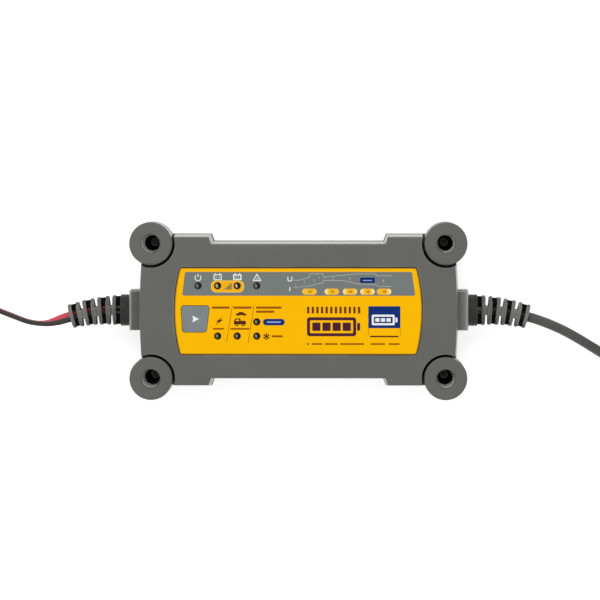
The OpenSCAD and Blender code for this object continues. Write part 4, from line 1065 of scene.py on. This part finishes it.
# %% Stage windows
WINDOW_AMBER, WINDOW_HIGHLIGHT, WINDOW_HEART = (colour(250, 188, 14), colour(255, 238, 160),
                                            colour(184, 120, 8))
WINDOW_HIGHLIGHT_ENDS = [(0.15, 0.1), (0.9, 0.1), (0.8, 0.35), (0.85, 0.85), (0.1, 0.9)]
HIGHLIGHT_REACH, HEART_X, HEART_EDGE = (1.2, 3.6), 0.4, (0.3, 1.6)
for window, (left_highlight, right_highlight) in zip(WINDOWS, WINDOW_HIGHLIGHT_ENDS):
    x, y = middle(window)
    guide = Finish(f"light_guide_{window[-1]}", WINDOW_AMBER, coat_weight=0.1,
                   specular_ior_level=0.15)
    along, up_down, cloud = guide.x - x, guide.y - y, guide.noise(2.5, 2)
    guide.base = blend(cloud, shade(WINDOW_AMBER, 0.94), WINDOW_AMBER)
    # painted highlights at the ends of each window
    guide.paint((0 - along).ramp(*HIGHLIGHT_REACH) * left_highlight, WINDOW_HIGHLIGHT)
    guide.paint(along.ramp(*HIGHLIGHT_REACH) * right_highlight, WINDOW_HIGHLIGHT)
    guide.paint(1 - (along - HEART_X).distance(up_down * 1.6).ramp(*HEART_EDGE), WINDOW_HEART)
    guide.link("Roughness", cloud * 0.15 + 0.25)
    guide.relief(cloud, 0.01).on(window)

# %% [markdown]
# ## Inside the housing
# The shells hide the electronics, but an opened charger shows them, so each has the finish
# of the real component: solder mask with tracks under it, sleeves, ferrite, wound copper,
# tape, and glass between metal caps.

# %% Boards
MASK_GREEN, TRACK_GREEN, BOARD_EDGE = colour(22, 84, 48), colour(52, 122, 70), colour(178, 168, 110)


def board_finish(name, pitch):
    """Solder mask over tracks that run along and across, and a bare cut edge."""
    finish = Finish(name, MASK_GREEN, coat_weight=0.3)
    lanes, blocks = finish.noise(9, 1), finish.noise(14, 0)
    along = (finish.y + (lanes > 0.52) * pitch).wave(pitch * 2) > 0.78
    across = (finish.x + (lanes > 0.48) * pitch).wave(pitch * 3) > 0.82
    tracks = along * (blocks > 0.5) + across * (blocks < 0.5)
    copper = tracks.most(finish.noise(20, 1) > 0.56)
    finish.base = blend(finish.noise(6), shade(MASK_GREEN, 0.9), shade(MASK_GREEN, 1.1))
    finish.paint(copper, TRACK_GREEN)
    finish.paint(abs(finish.facing()) < 0.5, BOARD_EDGE)
    finish.link("Roughness", finish.noise(1.5) * 0.15 + 0.28)
    return finish.relief(copper, 0.03)


board_finish("main_board_mask", 1.3).on("main_board")
board_finish("control_board_mask", 0.9).on("control_board")

# %% Chips, switch and flat cable
moulded("chip_white", colour(232, 230, 212), grain=0.4, depth=0.005, gloss=0.35, patch=1.5,
        spread=0.1).on("stage_lamps")
moulded("switch_black", colour(26, 26, 27), grain=0.5, gloss=0.32, patch=4,
        wear_and_highlight=colour(70, 70, 70)).on("mode_switch", "switch_plunger")
WIRE_PITCH, MARKED_WIRE = 1.27, -57.6
ribbon = moulded("ribbon_cable", colour(202, 202, 196), gloss=0.45)
# painted shade in the grooves between the wires
ribbon.paint(ribbon.x.wave(WIRE_PITCH).ramp(0.2, 0), colour(150, 150, 146))
ribbon.paint(ribbon.x < MARKED_WIRE, colour(190, 40, 40))
ribbon.relief(ribbon.x.wave(WIRE_PITCH), 0.25).on("board_link")


# %% Packages with metal legs, and the rectifier's minus sign
BOARD_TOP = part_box("main_board")[1][2] / MM
LEG_TOP, TAB_FOOT = BOARD_TOP + 3, BOARD_TOP + 12
MARK_X, MARK_Z, MARK_HALF = 29.4, BOARD_TOP + 12.3, (1.1, 0.25)
package = moulded("transistor_epoxy", colour(30, 30, 31), grain=0.3, depth=0.012, patch=3)
bare = (package.z < LEG_TOP).most(package.z > TAB_FOOT)
package.paint(bare, colour(190, 190, 192)).on("power_transistor", "output_diode")
package.link("Metallic", bare)
package.link("Roughness", bare * -0.15 + 0.5)
rectifier = moulded("rectifier_epoxy", colour(28, 28, 29), grain=0.3, depth=0.012, patch=3)
minus = (abs(rectifier.x - MARK_X) < MARK_HALF[0]) * (abs(rectifier.z - MARK_Z) < MARK_HALF[1])
rectifier.paint(minus, colour(210, 210, 208)).on("bridge_rectifier")

# %% Capacitors
SLEEVE, STRIPE = colour(22, 34, 72), colour(206, 206, 200)
LID_DEPTH, VENT_HALF = 0.7, 0.35


def can_finish(name, can, stripe_half):
    """A shrunk sleeve with its minus stripe, and the bare can with its vent on top."""
    (x, y), top = middle(can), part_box(can)[1][2] / MM
    finish = moulded(name, SLEEVE, gloss=0.25, patch=8)
    across, along = finish.x - x, finish.y - y
    finish.paint((across > 0) * (abs(along) < stripe_half), STRIPE)
    lid = finish.z > top - LID_DEPTH
    vent = (abs(across) < VENT_HALF).most(abs(along) < VENT_HALF)
    vent *= across.distance(along) < stripe_half * 1.9
    finish.paint(lid, ALUMINIUM)
    # painted shade in the scored lines of the vent
    finish.paint(lid * vent, shade(ALUMINIUM, 0.4))
    finish.link("Metallic", lid)
    finish.link("Roughness", finish.noise(2) * 0.15 + 0.22)
    finish.on(can)


can_finish("bulk_sleeve", "bulk_capacitor", 2.6)
can_finish("output_sleeve", "output_capacitors", 1.8)
moulded("film_box", colour(214, 184, 52), grain=0.7, depth=0.02, gloss=0.3, patch=5,
        wear_and_highlight=colour(240, 220, 120)).on("filter_capacitor")
moulded("relay_box", colour(34, 74, 150), grain=0.8, gloss=0.28, patch=7,
        wear_and_highlight=colour(90, 130, 196)).on("output_relay")

# %% Choke winding
CHOKE_X, CHOKE_Y = middle("input_choke")
WINDINGS, CUP_HEIGHT = 44, 2.05
choke = metal("enamelled_copper", COPPER, 0.25)
turn = choke.x.math("ARCTAN2", choke.y - CHOKE_Y, choke.x - CHOKE_X)
coils = turn.wave(2 * math.pi / WINDINGS)
# painted shade in the grooves between the turns
choke.paint(coils.ramp(0.5, 0.0) * 0.8, shade(COPPER, 0.25))
cup = choke.z < BOARD_TOP + CUP_HEIGHT
choke.paint(cup, colour(36, 36, 38))
choke.link("Metallic", 1 - cup)
choke.relief(coils, 0.35).on("input_choke")

# %% Transformer
ferrite = moulded("ferrite", colour(52, 52, 54), grain=0.35, depth=0.03, gloss=0.6, patch=3,
                  spread=0.12, wear_and_highlight=colour(96, 96, 98))
CORE_JOINT, BOBBIN_TOP, TAPE_WIDTH = 24.6, 18.0, 4.4
ferrite.paint(abs(ferrite.z - CORE_JOINT) < 0.12, colour(20, 20, 20)).on("transformer_core")
TAPE_YELLOW, BOBBIN = colour(212, 168, 46), colour(34, 34, 36)
tape = Finish("winding_tape", TAPE_YELLOW, coat_weight=0.4)
wraps, wrinkle = tape.z.wave(TAPE_WIDTH), tape.noise(1.6, 3, (1, 1, 3))
tape.base = blend(wrinkle, shade(TAPE_YELLOW, 0.85), shade(TAPE_YELLOW, 1.1))
tape.paint(wraps.ramp(0.93, 1.0), shade(TAPE_YELLOW, 0.6))
tape.paint(tape.z < BOBBIN_TOP, BOBBIN)
tape.link("Roughness", wrinkle * 0.2 + 0.22)
tape.relief(wrinkle * 0.5 + wraps.ramp(0.9, 1.0), 0.08).on("transformer_winding")

# %% Fuse
FUSE_X, FUSE_Y = middle("mains_fuse")
GLASS_HALF, WIRE_HALF = 5.1, 0.25
fuse = metal("fuse_caps", NICKEL, 0.22, (4, 1, 4))
glass = abs(fuse.y - FUSE_Y) < GLASS_HALF
wire = abs(fuse.x - FUSE_X) < WIRE_HALF
fuse.paint(glass, colour(216, 222, 218)).paint(glass * wire, colour(120, 120, 118))
fuse.link("Metallic", 1 - glass)
fuse.link("Roughness", glass * -0.12 + 0.22)
fuse.on("mains_fuse")
print("materials:", len(bpy.data.materials))

# %% [markdown]
# A solid without a finish would render plain grey, so all of them are looked through once
# more.

# %% Every solid that shows has a finish
bare = [name for name, piece in nodes.items() if not piece.hide_render
        and not any(m and m.node_tree and len(m.node_tree.nodes) > 5 for m in piece.data.materials)]
print("without a finish:", bare)
